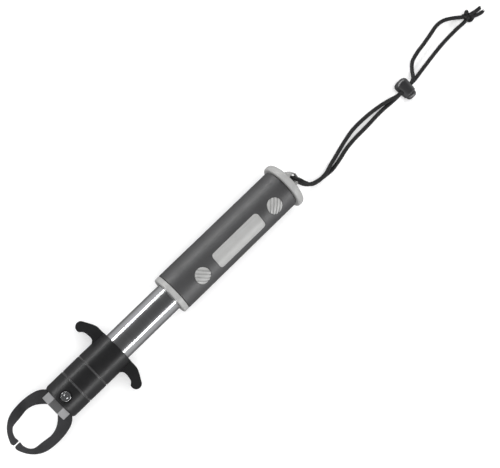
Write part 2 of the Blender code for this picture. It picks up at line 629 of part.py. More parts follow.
def trigger_parts(axis, finishes):
    """Sleeve with finger wings, the cross screw and nut that it carries, and the yoke that the spring pushes."""
    profile = [
        (MOUTH_X, 0.0),
        (MOUTH_X, SLEEVE_RADIUS - SLEEVE_CHAMFER / 2.0),
        (MOUTH_X + SLEEVE_CHAMFER, SLEEVE_RADIUS),
    ]
    for place in GROOVE_PLACES:
        x = MOUTH_X + place
        profile += [
            (x - GROOVE_WIDTH / 2.0, SLEEVE_RADIUS),
            (x, SLEEVE_RADIUS - GROOVE_DEPTH),
            (x + GROOVE_WIDTH / 2.0, SLEEVE_RADIUS),
        ]
    profile += [(SLEEVE_END_X, SLEEVE_RADIUS), (SLEEVE_END_X, 0.0)]
    tube_bore_x = HEAD_END_X + GAP
    bore = turned([
        (MOUTH_X - CUT_OVER, 0.0),
        (MOUTH_X - CUT_OVER, MOUTH_BORE),
        (MOUTH_X + MOUTH_DEPTH, MOUTH_BORE),
        (MOUTH_X + MOUTH_DEPTH, SLEEVE_HEAD_BORE),
        (tube_bore_x, SLEEVE_HEAD_BORE),
        (tube_bore_x, BUSH_BORE),
        (SLEEVE_END_X + CUT_OVER, BUSH_BORE),
        (SLEEVE_END_X + CUT_OVER, 0.0),
    ], FINE)
    sleeve = solid("trigger_sleeve", turned(profile, FINE), axis, finishes["black_plastic"])
    wings = moved(prism(wing_outline(), -WING_DEPTH / 2.0, WING_DEPTH / 2.0), (-WING_INSET, 0, 0))
    shape(sleeve, "UNION", wings)
    shape(sleeve, "DIFFERENCE", bore)

    seat = SLEEVE_HEAD_BORE + SCREW_SEAT_WALL
    outside = SLEEVE_RADIUS + CUT_OVER
    for side, hole in ((1.0, HOLE_RADIUS), (-1.0, NUT_SLEEVE_RADIUS + GAP)):
        stepped = turned([
            (0.0, 0.0),
            (0.0, hole),
            (side * seat, hole),
            (side * seat, SCREW_SEAT_RADIUS),
            (side * outside, SCREW_SEAT_RADIUS),
            (side * outside, 0.0),
        ], COARSE, "Z")
        shape(sleeve, "DIFFERENCE", moved(stepped, (SCREW_X, 0, 0)))

    under_head = seat + GAP
    top = under_head + SCREW_HEAD_HEIGHT
    screw_shape = turned([
        (-under_head, 0.0),
        (-under_head, PIN_RADIUS),
        (under_head, PIN_RADIUS),
        (under_head, SCREW_HEAD_RADIUS),
        (top - SCREW_HEAD_CHAMFER / 2.0, SCREW_HEAD_RADIUS),
        (top, SCREW_HEAD_RADIUS - SCREW_HEAD_CHAMFER),
        (top, 0.0),
    ], COARSE, "Z")
    screw = solid("cross_screw", moved(screw_shape, (SCREW_X, 0, 0)), axis, finishes["polished_steel"])
    arm = CROSS_REACH * SCREW_HEAD_RADIUS
    thin = CROSS_WIDTH / 2.0
    for size in ((arm, thin), (thin, arm)):
        cross = box((-size[0], -size[1], top - CROSS_DEPTH), (size[0], size[1], top + CUT_OVER))
        shape(screw, "DIFFERENCE", moved(cross, (SCREW_X, 0, 0)))

    bore_end = under_head + GAP
    nut = turned([
        (-under_head - SCREW_HEAD_HEIGHT, 0.0),
        (-under_head - SCREW_HEAD_HEIGHT, SCREW_HEAD_RADIUS),
        (-under_head, SCREW_HEAD_RADIUS),
        (-under_head, NUT_SLEEVE_RADIUS),
        (-SLEEVE_HEAD_BORE - GAP, NUT_SLEEVE_RADIUS),
        (-SLEEVE_HEAD_BORE - GAP, HOLE_RADIUS),
        (-bore_end, HOLE_RADIUS),
        (-bore_end, 0.0),
    ], COARSE, "Z")
    solid("cross_nut", moved(nut, (SCREW_X, 0, 0)), axis, finishes["steel"])

    disc_end = YOKE_DISC_X + YOKE_DISC
    guide = SPRING_RADIUS - SPRING_WIRE / 2.0 - SPRING_PLAY
    yoke = solid("spring_yoke", turned([
        (YOKE_DISC_X, 0.0),
        (YOKE_DISC_X, PLUG_RADIUS),
        (disc_end, PLUG_RADIUS),
        (disc_end, guide),
        (disc_end + YOKE_GUIDE_LENGTH, guide),
        (disc_end + YOKE_GUIDE_LENGTH, 0.0),
    ], FINE), axis, finishes["steel"])
    for side in (1.0, -1.0):
        low, high = sorted((side * SLOT_HALF, side * (SLOT_HALF + YOKE_PRONG)))
        shape(yoke, "UNION", box(
            (SCREW_X, -YOKE_WIDTH / 2.0, low), (YOKE_DISC_X + JOIN, YOKE_WIDTH / 2.0, high)
        ))
    shape(yoke, "DIFFERENCE", moved(pin(HOLE_RADIUS, -SLEEVE_RADIUS, SLEEVE_RADIUS), (SCREW_X, 0, 0)))


# ---------------------------------------------------------------- jaws

# Outline of one jaw's hook, from the head's face (0) to the tips (1) and across from the axis (0) to the
# ring's outer side (1), before the tip gap
HOOK_OUTER = (
    (0.0, 0.90), (0.16, 0.976), (0.363, 1.0), (0.549, 0.970), (0.693, 0.887), (0.826, 0.715),
    (0.922, 0.492), (0.982, 0.262), (1.0, 0.150), (0.998, 0.092),
)
HOOK_INNER = (
    (0.872, 0.10), (0.876, 0.21), (0.838, 0.41), (0.755, 0.55), (0.62, 0.585), (0.491, 0.618),
    (0.377, 0.645), (0.271, 0.612), (0.177, 0.537), (0.086, 0.409), (0.0, 0.235),
)


def cam_point(travel, offset=0.0):
    """A point of the cam slot's middle line, from the pivot, that the cross screw reaches at a travel."""
    angle = CAM_RATE * travel
    reach = PIN_REACH + travel
    point = Vector((math.cos(angle), math.sin(angle))) * reach
    tangent = Vector((math.cos(angle), math.sin(angle))) + CAM_RATE * reach * Vector(
        (-math.sin(angle), math.cos(angle)))
    normal = Vector((-tangent.y, tangent.x)).normalized()
    return point + offset * normal


def cam_outline(half, start=0.0):
    """The cam slot's middle line widened by half to both sides, with round ends."""
    steps = 8
    travels = [start + (TRIGGER_TRAVEL - start) * i / steps for i in range(steps + 1)]
    far = cam_point(TRIGGER_TRAVEL)
    out = cam_point(TRIGGER_TRAVEL, 1.0) - far
    heading = math.degrees(math.atan2(out.y, out.x))
    return (
        [cam_point(t, half) for t in travels],
        arc(far, half, heading, heading - 180.0, 8)[1:-1],
        [cam_point(t, -half) for t in reversed(travels)],
    )


def jaw_outline():
    """Outline of the +Y jaw about its pivot: hook, arm, hub and cam tail."""
    head = HEAD_X - PIVOT_X
    mouth = MOUTH_X - PIVOT_X

    def hook(points):
        return [(head - u * JAW_REACH, v * JAW_WIDTH / 2.0) for u, v in points]

    root = MOUTH_BORE - ROOT_INSET
    ahead, outside = ROOT_OUTER
    outer = smooth([
        *reversed(hook(HOOK_OUTER)),
        (mouth - ahead, root + outside),
        (mouth + ROOT_START, root),
    ], 3)
    shoulder = [(mouth + behind, root - inside) for behind, inside in ROOT_SHOULDER]
    tail_outer, tail_end, tail_inner = cam_outline(TAIL_HALF, 0.0)
    hub = arc((0.0, 0.0), HUB_RADIUS, -62.0, -212.0, 10)
    inner = list(reversed(smooth(hook(HOOK_INNER), 3)))
    face_y = JAW_TIP_GAP / 2.0
    (near, near_back), (far, far_back) = TIP_CHAMFERS
    nose = [
        (head - near * JAW_REACH, face_y + near_back),
        *((head - place * JAW_REACH, face_y) for place in TIP_FACE),
        (head - far * JAW_REACH, face_y + far_back),
    ]
    return [*outer, *shoulder, *tail_outer[2:], *tail_end, *tail_inner, *hub, *inner, *nose]


def jaw(name, pivot, side, finishes):
    """One jaw on its pivot: side +1 is the +Y jaw, whose lap is the upper half, and -1 is its mirror."""
    outline = [(p[0], side * p[1]) for p in jaw_outline()]
    half = JAW_THICKNESS / 2.0
    piece = solid(name, prism(outline, -half, half), pivot, finishes["coated_steel"])
    over = CUT_OVER
    clear = HUB_RADIUS + 2.0 * GAP
    far = TAIL_REACH + MOUTH_BORE
    start = 2.0 * OPEN_ANGLE + LAP_MARGIN
    wedge = [
        *arc((0.0, 0.0), clear, math.degrees(start), math.degrees(LAP_BACK), 16),
        (far * math.cos(LAP_BACK), far * math.sin(LAP_BACK)),
        (far, -far),
        (far, far),
        (far * math.cos(start), far * math.sin(start)),
    ]
    wedge = [(p[0], side * p[1]) for p in wedge]
    low, high = sorted((-side * (half + over), side * GAP / 2.0))
    slot = [(p[0], side * p[1]) for part in jaw_slot() for p in part]
    shape(
        piece, "DIFFERENCE",
        prism(wedge, low, high),
        pin(HOLE_RADIUS, -half - over, half + over),
        prism(slot, -half - over, half + over),
    )


def jaw_slot():
    """Cam slot: both sides and both round ends."""
    outer, end, inner = cam_outline(HOLE_RADIUS)
    near = cam_point(0.0)
    out = cam_point(0.0, 1.0) - near
    heading = math.degrees(math.atan2(out.y, out.x))
    return outer, end, inner, arc(near, HOLE_RADIUS, heading + 180.0, heading, 8)[1:-1]


# ---------------------------------------------------------------- lanyard

# The two strands of the lanyard, from inside the lug's hole to the knot, in millimetres. Each lies on the
# surface, one over the other behind the lug, and they run stacked through the cord lock.
STRAND_A = (
    (131.4, -0.25, 18.1), (131.4, -1.2, 20.5), (131.6, -2.6, 22.8), (132.3, -5.0, 24.5), (133.2, -7.7, 24.4),
    (134.6, -10.0, 22.8), (136.5, -11.9, 19.9), (139.2, -13.3, 16.0), (142.3, -14.3, 11.8), (145.5, -14.9, 8.2),
    (149.2, -15.4, 5.6), (156.0, -15.1, 5.0), (162.5, -13.2, 4.3), (169.5, -11.6, 2.7), (177.0, -9.7, 1.7),
    (186.1, -7.5, 1.6), (195.3, -5.9, 1.6), (205.6, -5.6, 1.6), (215.5, -6.2, 1.6), (223.3, -7.2, 2.1),
    (230.3, -8.8, 4.6), (236.0, -10.6, 7.0), (241.0, -11.3, 7.95), (246.4, -11.3, 7.95), (251.8, -11.3, 7.95),
    (257.0, -9.4, 6.6), (262.0, -4.8, 3.4), (268.0, -0.2, 1.7), (276.5, 2.2, 1.6), (285.0, 3.5, 1.6),
    (294.2, 5.1, 1.6), (302.6, 6.7, 1.6), (309.5, 6.0, 1.7), (315.7, 2.7, 2.9), (321.3, -2.0, 4.7),
)
STRAND_B = (
    (131.4, -0.1, 17.7), (131.4, 0.7, 15.3), (132.0, 0.6, 12.6), (133.3, -1.4, 9.9), (135.1, -4.8, 7.4),
    (137.4, -8.5, 5.1), (140.5, -11.7, 3.1), (144.8, -14.0, 1.9), (150.5, -15.3, 1.6), (156.0, -16.0, 1.6), (162.5, -16.4, 1.6),
    (171.8, -14.9, 1.6), (180.9, -12.8, 1.6), (190.6, -11.7, 1.6), (199.5, -11.5, 1.6), (207.5, -11.3, 1.6),
    (216.5, -10.8, 1.6), (224.5, -10.8, 1.6), (231.0, -11.2, 2.0), (236.2, -11.5, 3.6), (241.0, -11.3, 4.6),
    (246.4, -11.3, 4.65), (251.8, -11.3, 4.6), (258.5, -11.3, 2.7), (266.5, -10.2, 1.6), (275.8, -8.9, 1.6),
    (284.7, -7.7, 1.6), (294.9, -6.6, 1.6), (304.8, -6.1, 1.6), (314.0, -6.0, 2.2), (321.6, -6.2, 3.5),
)
KNOT_TAILS = (
    ((327.0, -5.2, 4.6), (333.5, -6.2, 3.6), (340.2, -6.6, 1.7)),
    ((326.5, -7.0, 3.8), (333.5, -9.4, 2.6), (340.3, -10.4, 1.6)),
)


def lanyard_parts(ground, finishes):
    """Two strands of one folded cord, a sprung cord lock on them, and the knot that ends them."""
    for name, route in (("lanyard_strand_a", STRAND_A), ("lanyard_strand_b", STRAND_B)):
        points = smooth([Vector(p) * MM for p in route], 2)
        tube_along(name, points, CORD_RADIUS, ground, finishes["cord"])

    knot = bmesh.new()
    bmesh.ops.create_uvsphere(knot, u_segments=16, v_segments=10, radius=1.0)
    bmesh.ops.scale(knot, verts=knot.verts, vec=Vector((3.8, 5.2, 3.7)) * MM)
    bmesh.ops.rotate(knot, verts=knot.verts, matrix=Matrix.Rotation(math.radians(12.0), 3, "Z"))
    body = solid("lanyard_knot", moved(knot, KNOT_PLACE), ground, finishes["cord"])
    for index, tail in enumerate(KNOT_TAILS):
        points = smooth([Vector(p) * MM for p in tail], 2)
        shape(body, "UNION", tapered(points, CORD_RADIUS, 0.6 * CORD_RADIUS))


def tapered(points, start_radius, end_radius):
    """A straight-sided tail along the points, thinner at its free end."""
    bm = bmesh.new()
    rings = []
    for index, point in enumerate(points):
        ahead = points[min(index + 1, len(points) - 1)]
        behind = points[max(index - 1, 0)]
        heading = (ahead - behind).normalized()
        side = heading.cross(UP).normalized()
        lift = side.cross(heading)
        radius = start_radius + (end_radius - start_radius) * index / (len(points) - 1)
        ring = []
        for i in range(8):
            angle = math.tau * i / 8
            ring.append(bm.verts.new(point + radius * (math.cos(angle) * side + math.sin(angle) * lift)))
        rings.append(ring)
    for first, second in zip(rings, rings[1:]):
        for i in range(8):
            bm.faces.new((first[i - 1], first[i], second[i], second[i - 1]))
    bm.faces.new(rings[0])
    bm.faces.new(rings[-1])
    bmesh.ops.recalc_face_normals(bm, faces=bm.faces)
    return bm


def lock_body(axis, finishes):
    """Barrel of the cord lock, bored in two steps from its -Y end, with a hole for both strands across it."""
    half = LOCK_LENGTH / 2.0
    profile = [
        (-half, 0.0),
        (-half, LOCK_MOUTH_RADIUS - GAP),
        (-half + GAP, LOCK_MOUTH_RADIUS),
        (-half / 2.0, (LOCK_MOUTH_RADIUS + LOCK_RADIUS) / 2.0),
        *arc((half - LOCK_CROWN, LOCK_RADIUS - LOCK_CROWN), LOCK_CROWN, 100.0, 0.0, 7),
        (half, 0.0),
    ]
    body = solid("cord_lock_body", turned(profile, 32, "Y"), axis, finishes["black_plastic"])
    hole_y = CORD_RADIUS + GAP
    hole_z = LOCK_CORD_SPACING / 2.0 + CORD_RADIUS + GAP
    over = LOCK_RADIUS + CUT_OVER
    passage = box((-over, LOCK_CORD_OFFSET - hole_y, -hole_z), (over, LOCK_CORD_OFFSET + hole_y, hole_z))
    step = BUTTON_END_Y + LOCK_TRAVEL + GAP
    spring_bore = LOCK_SPRING_RADIUS + LOCK_SPRING_WIRE + GAP
    bore = turned([
        (-half - CUT_OVER, 0.0),
        (-half - CUT_OVER, BUTTON_RADIUS + GAP),
        (step, BUTTON_RADIUS + GAP),
        (step, spring_bore),
        (half - LOCK_WALL, spring_bore),
        (half - LOCK_WALL, 0.0),
    ], 32, "Y")
    shape(body, "DIFFERENCE", bore, passage)


def lock_button(axis, finishes):
    """Plunger of the cord lock: its own hole is longer by the travel, and its end stands out of the barrel."""
    half = LOCK_LENGTH / 2.0
    hole_y = CORD_RADIUS + GAP
    hole_z = LOCK_CORD_SPACING / 2.0 + CORD_RADIUS + GAP
    outer = -half - BUTTON_SHOWN
    button = solid("cord_lock_button", turned([
        (outer, 0.0),
        *arc((outer + BUTTON_DOME, BUTTON_RADIUS - BUTTON_DOME), BUTTON_DOME, 180.0, 90.0, 5),
        (BUTTON_END_Y, BUTTON_RADIUS),
        (BUTTON_END_Y, 0.0),
    ], 32, "Y"), axis, finishes["black_plastic"])
    over = BUTTON_RADIUS + CUT_OVER
    shape(button, "DIFFERENCE", box(
        (-over, LOCK_CORD_OFFSET - hole_y - LOCK_TRAVEL, -hole_z), (over, LOCK_CORD_OFFSET + hole_y, hole_z)
    ))
    wire = LOCK_SPRING_WIRE
    coil = helix(LOCK_SPRING_RADIUS, BUTTON_END_Y + GAP + wire, half - LOCK_WALL - GAP - wire, 3, 12, "Y")
    tube_along("cord_lock_spring", coil, wire, axis, finishes["steel"], 0)


# ---------------------------------------------------------------- assembly


def main():
    for old in list(bpy.data.objects):
        bpy.data.objects.remove(old, do_unlink=True)

    finishes = {
        "rubber": material("grip_rubber", (0.075, 0.077, 0.080), 0.62),
        "core_plastic": material("core_plastic", (0.12, 0.12, 0.12), 0.5),
        "grey_plastic": material("grey_plastic", (0.45, 0.45, 0.44), 0.42),
        "black_plastic": material("black_plastic", (0.028, 0.028, 0.029), 0.38),
        "coated_steel": material("coated_steel", (0.055, 0.055, 0.057), 0.36, 0.6),
        "steel": material("steel", (0.56, 0.56, 0.57), 0.32, 1.0),
        "polished_steel": material("polished_steel", (0.68, 0.68, 0.69), 0.16, 1.0),
        "bush": material("bush_acetal", (0.62, 0.60, 0.55), 0.5),
        "seal": material("seal_rubber", (0.03, 0.03, 0.03), 0.6),
        "cord": material("cord_polyester", (0.02, 0.02, 0.021), 0.8),
    }

    tool_axis = empty("tool_axis", None, (0.0, 0.0, AXIS_HEIGHT))
    handle_axis = empty("handle_axis", tool_axis, turn=HANDLE_TURN)
    barrel_axis = empty("barrel_axis", tool_axis)
    trigger_axis = empty("trigger_axis", barrel_axis)
    jaw_pivot = empty("jaw_pivot", barrel_axis, (PIVOT_X, 0.0, 0.0))
    lock_axis = empty("lock_axis", None, LOCK_PLACE)

    handle_parts(handle_axis, finishes)
    barrel_parts(barrel_axis, finishes)
    trigger_parts(trigger_axis, finishes)
    jaw("jaw_left", jaw_pivot, 1.0, finishes)
    jaw("jaw_right", jaw_pivot, -1.0, finishes)
    lanyard_parts(None, finishes)
    lock_body(lock_axis, finishes)
    lock_button(lock_axis, finishes)


main()
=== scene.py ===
"""Finished look of a lip grip for landing fish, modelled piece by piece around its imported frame.

The tool lies on its side on a pale table: jaws towards -X, lanyard towards +X, its axis level. Metres, +Z up.
"""
from __future__ import annotations

import logging
import math
import random
from collections.abc import Iterable, Sequence
from dataclasses import dataclass, field
from enum import Enum

import bmesh
import bpy
from mathutils import Matrix, Vector


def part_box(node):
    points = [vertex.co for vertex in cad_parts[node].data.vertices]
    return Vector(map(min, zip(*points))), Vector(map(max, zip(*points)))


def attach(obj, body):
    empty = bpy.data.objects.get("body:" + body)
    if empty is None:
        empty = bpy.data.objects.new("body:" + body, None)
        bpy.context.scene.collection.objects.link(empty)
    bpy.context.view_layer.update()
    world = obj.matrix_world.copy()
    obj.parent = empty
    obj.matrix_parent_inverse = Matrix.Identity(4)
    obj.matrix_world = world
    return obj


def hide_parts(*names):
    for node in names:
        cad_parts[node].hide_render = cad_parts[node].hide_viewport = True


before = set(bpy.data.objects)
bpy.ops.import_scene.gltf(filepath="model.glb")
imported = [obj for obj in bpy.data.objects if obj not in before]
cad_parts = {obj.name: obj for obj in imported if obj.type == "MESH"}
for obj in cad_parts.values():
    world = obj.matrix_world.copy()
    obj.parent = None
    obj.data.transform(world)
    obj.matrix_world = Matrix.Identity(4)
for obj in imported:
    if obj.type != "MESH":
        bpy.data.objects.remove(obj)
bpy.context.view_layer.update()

log = logging.getLogger("lip_grip")
MM = 0.001
SMOOTH_ANGLE = math.radians(38.0)  # edges sharper than this stay crisp
CORNER_ANGLE = math.radians(40.0)  # a CAD copy's edges sharper than this count as sharp
FLAT_ANGLE = math.radians(1.0)  # its faces closer to flat than this are joined
MERGE = 2e-6  # its vertices closer than this are one
SPIN_STEPS = 96
MIX_FIRST, MIX_SECOND, MIX_RESULT = 6, 7, 2  # the Mix node's colour sockets
Corner = tuple[float, float, float]
Point = tuple[float, float]


# ---------------------------------------------------------------- frame


@dataclass(frozen=True)
class Span:
    """Box of one CAD node at rest."""

    low: Vector
    high: Vector

    @classmethod
    def of(cls, node: str) -> Span:
        """Read the box of a CAD node from the frame."""
        return cls(*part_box(node))

    @property
    def centre(self) -> Vector:
        """Middle of the box."""
        return (self.low + self.high) / 2.0

    @property
    def size(self) -> Vector:
        """Lengths of the box's sides."""
        return self.high - self.low


def tool_axis(turn: float = 0.0) -> Matrix:
    """Place a piece that is modelled about the X axis on the table, after a turn in radians."""
    height = Span.of("barrel_tube").centre.z
    return Matrix.Translation((0.0, 0.0, height)) @ Matrix.Rotation(turn, 4, "X")


class Facing(Enum):
    """Direction that a turned piece's own X axis ends up in."""

    X = "X"
    Y = "Y"
    Z = "Z"

    @property
    def matrix(self) -> Matrix:
        """Rotation that takes X to this direction."""
        if self is Facing.Y:
            return Matrix.Rotation(math.pi / 2.0, 4, "Z")
        if self is Facing.Z:
            return Matrix.Rotation(-math.pi / 2.0, 4, "Y")
        return Matrix.Identity(4)


# ---------------------------------------------------------------- shapes


def arc(centre: Point, radius: float, start: float, end: float, steps: int) -> list[Point]:
    """Points on an arc between two angles in degrees, both ends included."""
    angles = [math.radians(start + (end - start) * i / steps) for i in range(steps + 1)]
    return [(centre[0] + radius * math.cos(a), centre[1] + radius * math.sin(a)) for a in angles]


def rounded_rectangle(length: float, width: float, corner: float, grow: float = 0.0) -> list[Point]:
    """Outline of a rectangle with round corners, centred on the origin.

    Args:
        length: Size along X.
        width: Size along Y.
        corner: Corner radius.
        grow: Margin added all round.

    Returns:
        The outline, anticlockwise.
    """
    points: list[Point] = []
    for index, (sx, sy) in enumerate(((1, 1), (-1, 1), (-1, -1), (1, -1))):
        centre = (sx * (length / 2.0 - corner), sy * (width / 2.0 - corner))
        points += arc(centre, corner + grow, 90.0 * index, 90.0 * index + 90.0, 8)
    return points


def flowing(points: Sequence[Sequence[float]], per_span: int) -> list[Vector]:
    """A Catmull-Rom curve through points in the plane or in space.

    Args:
        points: The points it passes through.
        per_span: Number of steps between two of them.

    Returns:
        The curve's points.
    """
    knots = [Vector(p) for p in points]
    knots = [2.0 * knots[0] - knots[1], *knots, 2.0 * knots[-1] - knots[-2]]
    curve = []
    for a, b, c, d in zip(knots, knots[1:], knots[2:], knots[3:]):
        for i in range(per_span):
            t = i / per_span
            curve.append(
                0.5 * (2.0 * b + (c - a) * t + (2.0 * a - 5.0 * b + 4.0 * c - d) * t**2
                       + (3.0 * b - a - 3.0 * c + d) * t**3)
            )
    curve.append(knots[-2])
    return curve


def runs(path: Sequence[Vector]) -> list[float]:
    """Lengths of a path's straight steps."""
    return [(b - a).length for a, b in zip(path, path[1:])]


def bevelled(bm: bmesh.types.BMesh, geom: Sequence[object], offset: float, segments: int, affect: str) -> None:
    """Round some edges or vertices of a shape.

    Args:
        bm: The shape.
        geom: The edges or vertices.
        offset: Size of the rounding.
        segments: Its steps.
        affect: EDGES or VERTICES.
    """
    bmesh.ops.bevel(bm, geom=geom, offset=offset, offset_type="OFFSET", segments=segments, profile=0.5,
                    affect=affect, clamp_overlap=affect == "EDGES", material=-1)


def spun(corners: Iterable[Corner], steps: int = SPIN_STEPS, facing: Facing = Facing.X,
         solid: bool = False) -> bmesh.types.BMesh:
    """Turn a closed outline a full circle, with its corners rounded first.

    Args:
        corners: Place along the axis, radius and rounding of each corner, in order.
        steps: Number of sides.
        facing: Direction of the axis.
        solid: Whether the outline is closed along the axis, or by a line between its ends.

    Returns:
        The closed shape.
    """
    corners = list(corners)
    if solid:
        corners = [(corners[0][0], 0.0, 0.0), *corners, (corners[-1][0], 0.0, 0.0)]
    bm = bmesh.new()
    verts = [bm.verts.new((x, 0.0, radius)) for x, radius, _ in corners]
    bm.faces.new(verts)
    groups: dict[float, list[bmesh.types.BMVert]] = {}
    for vert, (_, _, rounding) in zip(verts, corners):
        if rounding > 0.0:
            groups.setdefault(rounding, []).append(vert)
    for rounding, group in groups.items():
        bevelled(bm, group, rounding, 4, "VERTICES")
    on_axis = [edge for edge in bm.edges if all(abs(v.co.z) < 1e-7 for v in edge.verts)]
    bmesh.ops.delete(bm, geom=bm.faces[:], context="FACES_ONLY")
    bmesh.ops.delete(bm, geom=on_axis, context="EDGES")
    bmesh.ops.spin(bm, geom=bm.verts[:] + bm.edges[:], cent=(0, 0, 0), axis=(1, 0, 0), angle=math.tau,
                   steps=steps, use_merge=True)
    bmesh.ops.remove_doubles(bm, verts=bm.verts, dist=1e-6)
    bmesh.ops.recalc_face_normals(bm, faces=bm.faces)
    bmesh.ops.transform(bm, matrix=facing.matrix, verts=bm.verts)
    return bm


def plate(outline: Sequence[Sequence[float]], low: float, high: float, rounding: float = 0.0,
          segments: int = 4) -> bmesh.types.BMesh:
    """Extrude an outline in XY and round the edges of both faces.

    Args:
        outline: Points of the outline.
        low: Height of the lower face.
        high: Height of the upper face.
        rounding: Radius of the rounded edges.
        segments: Steps of the rounding.

    Returns:
        The closed solid.
    """
    bm = bmesh.new()
    face = bm.faces.new([bm.verts.new((p[0], p[1], low)) for p in outline])
    grown = bmesh.ops.extrude_face_region(bm, geom=[face])["geom"]
    top = [v for v in grown if isinstance(v, bmesh.types.BMVert)]
    bmesh.ops.translate(bm, verts=top, vec=(0.0, 0.0, high - low))
    bmesh.ops.recalc_face_normals(bm, faces=bm.faces)
    if rounding > 0.0:
        rims = [e for e in bm.edges if abs(e.verts[0].co.z - e.verts[1].co.z) < 1e-7]
        bevelled(bm, rims, rounding, segments, "EDGES")
    return bm


def placed(bm: bmesh.types.BMesh, matrix: Matrix) -> bmesh.types.BMesh:
    """Move a bmesh by a matrix and give it back."""
    bmesh.ops.transform(bm, matrix=matrix, verts=bm.verts)
    return bm


def shifted(bm: bmesh.types.BMesh, x: float = 0.0, y: float = 0.0, z: float = 0.0) -> bmesh.types.BMesh:
    """Move a bmesh along the axes and give it back."""
    return placed(bm, Matrix.Translation((x, y, z)))


def sliced(bm: bmesh.types.BMesh, places: Iterable[float], normal: Vector) -> bmesh.types.BMesh:
    """Add edge loops where parallel planes pass through a shape.

    Args:
        bm: The shape.
        places: Distances of the planes from the origin.
        normal: Their common normal.

    Returns:
        The same bmesh.
    """
    for place in places:
        bmesh.ops.bisect_plane(bm, geom=bm.verts[:] + bm.edges[:] + bm.faces[:], dist=1e-6,
                               plane_co=normal * place, plane_no=normal)
    return bm


def wrapped(bm: bmesh.types.BMesh, radius: float) -> bmesh.types.BMesh:
    """Lay a flat shape, with its foot at z = 0, on a cylinder about the X axis.

    Args:
        bm: The flat shape.
        radius: Radius of the cylinder.

    Returns:
        The same bmesh.
    """
    for vert in bm.verts:
        grown = (radius + vert.co.z) / radius
        vert.co.z = math.sqrt(radius**2 - vert.co.y**2) * grown
        vert.co.y *= grown
    return bm


def merged_copy(node: str, rounding: float, segments: int) -> bmesh.types.BMesh:
    """Copy a CAD node as clean faces and round its sharp edges as far as they allow.

    The rounding is held back by the node's shortest edges, so it can come out far smaller than asked.

    Args:
        node: Name of the CAD node.
        rounding: Radius asked for.
        segments: Steps of the rounding.

    Returns:
        The copy.
    """
    bm = bmesh.new()
    bm.from_mesh(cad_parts[node].data)
    bmesh.ops.remove_doubles(bm, verts=bm.verts, dist=MERGE)
    bmesh.ops.dissolve_limit(bm, angle_limit=FLAT_ANGLE, verts=bm.verts, edges=bm.edges)
    sharp = [e for e in bm.edges if e.is_manifold and e.calc_face_angle() > CORNER_ANGLE]
    bevelled(bm, sharp, rounding, segments, "EDGES")
    bmesh.ops.remove_doubles(bm, verts=bm.verts, dist=MERGE)
    return bm


def new_object(name: str, bm: bmesh.types.BMesh) -> bpy.types.Object:
    """Turn a bmesh into an object of the scene.

    Args:
        name: The object's name.
        bm: Its shape, which is freed.

    Returns:
        The object.
    """
    mesh = bpy.data.meshes.new(name)
    bm.to_mesh(mesh)
    bm.free()
    made = bpy.data.objects.new(name, mesh)
    bpy.context.scene.collection.objects.link(made)
    return made


def carve(piece: bpy.types.Object, operation: str, *tools: bmesh.types.BMesh) -> None:
    """Join, cut or intersect a piece with each tool and keep the result as its mesh.

    Args:
        piece: The piece.
        operation: UNION, DIFFERENCE or INTERSECT.
        *tools: The shapes to apply, which are freed.
    """
    for bm in tools:
        tool = new_object("tool", bm)
        step = piece.modifiers.new("step", "BOOLEAN")
        step.operation = operation
        step.solver = "EXACT"
        step.object = tool
        graph = bpy.context.evaluated_depsgraph_get()
        made = bpy.data.meshes.new_from_object(piece.evaluated_get(graph))
        piece.modifiers.clear()
        old = piece.data
        piece.data = made
        bpy.data.meshes.remove(old)
        bpy.data.objects.remove(tool, do_unlink=True)


# ---------------------------------------------------------------- shader groups


class Tree:
    """Adds and links the nodes of one tree."""

    def __init__(self, tree: bpy.types.NodeTree) -> None:
        """Take a node tree."""
        self.tree = tree

    def add(self, kind: str, inputs: dict[str | int, object] | None = None, **settings: object) -> bpy.types.Node:
        """Add a node.

        Args:
            kind: The node's type.
            inputs: Values of its sockets, or sockets of other nodes to link to them.
            **settings: Its properties.

        Returns:
            The node.
        """
        node = self.tree.nodes.new(kind)
        for key, value in settings.items():
            setattr(node, key, value)
        for key, value in (inputs or {}).items():
            if isinstance(value, bpy.types.NodeSocket):
                self.tree.links.new(value, node.inputs[key])
            else:
                node.inputs[key].default_value = value
        return node

    def maths(self, operation: str, *values: object) -> bpy.types.NodeSocket:
        """Add a Math node and give its result."""
        return self.add("ShaderNodeMath", dict(enumerate(values)), operation=operation).outputs[0]

    def ramp(self, value: bpy.types.NodeSocket, low: object, high: object, start: float = 0.0,
             end: float = 1.0) -> bpy.types.NodeSocket:
        """Map a value from start to end onto low to high."""
        sockets = {"Value": value, "From Min": start, "From Max": end, "To Min": low, "To Max": high}
        return self.add("ShaderNodeMapRange", sockets).outputs["Result"]

    def noise(self, vector: object, scale: object, detail: float, **more: float) -> bpy.types.NodeSocket:
        """Add a Noise Texture node and give its value."""
        sockets = {"Vector": vector, "Scale": scale, "Detail": detail, **more}
        return self.add("ShaderNodeTexNoise", sockets).outputs["Fac"]


def shader_group(name: str, inputs: dict[str, float], outputs: Sequence[str]) -> tuple[
        bpy.types.NodeTree, Tree, bpy.types.bpy_prop_collection]:
    """Start a shader node group that takes a vector and numbers and gives numbers.

    Args:
        name: The group's name.
        inputs: Default of each number that it takes.
        outputs: Names of its outputs.

    Returns:
        The group, its builder, and the sockets that it takes.
    """
    group = bpy.data.node_groups.new(name, "ShaderNodeTree")
    group.interface.new_socket(name="Vector", in_out="INPUT", socket_type="NodeSocketVector")
    for label, default in inputs.items():
        socket = group.interface.new_socket(name=label, in_out="INPUT", socket_type="NodeSocketFloat")
        socket.default_value = default
    for label in outputs:
        group.interface.new_socket(name=label, in_out="OUTPUT", socket_type="NodeSocketFloat")
    builder = Tree(group)
    return group, builder, builder.add("NodeGroupInput").outputs


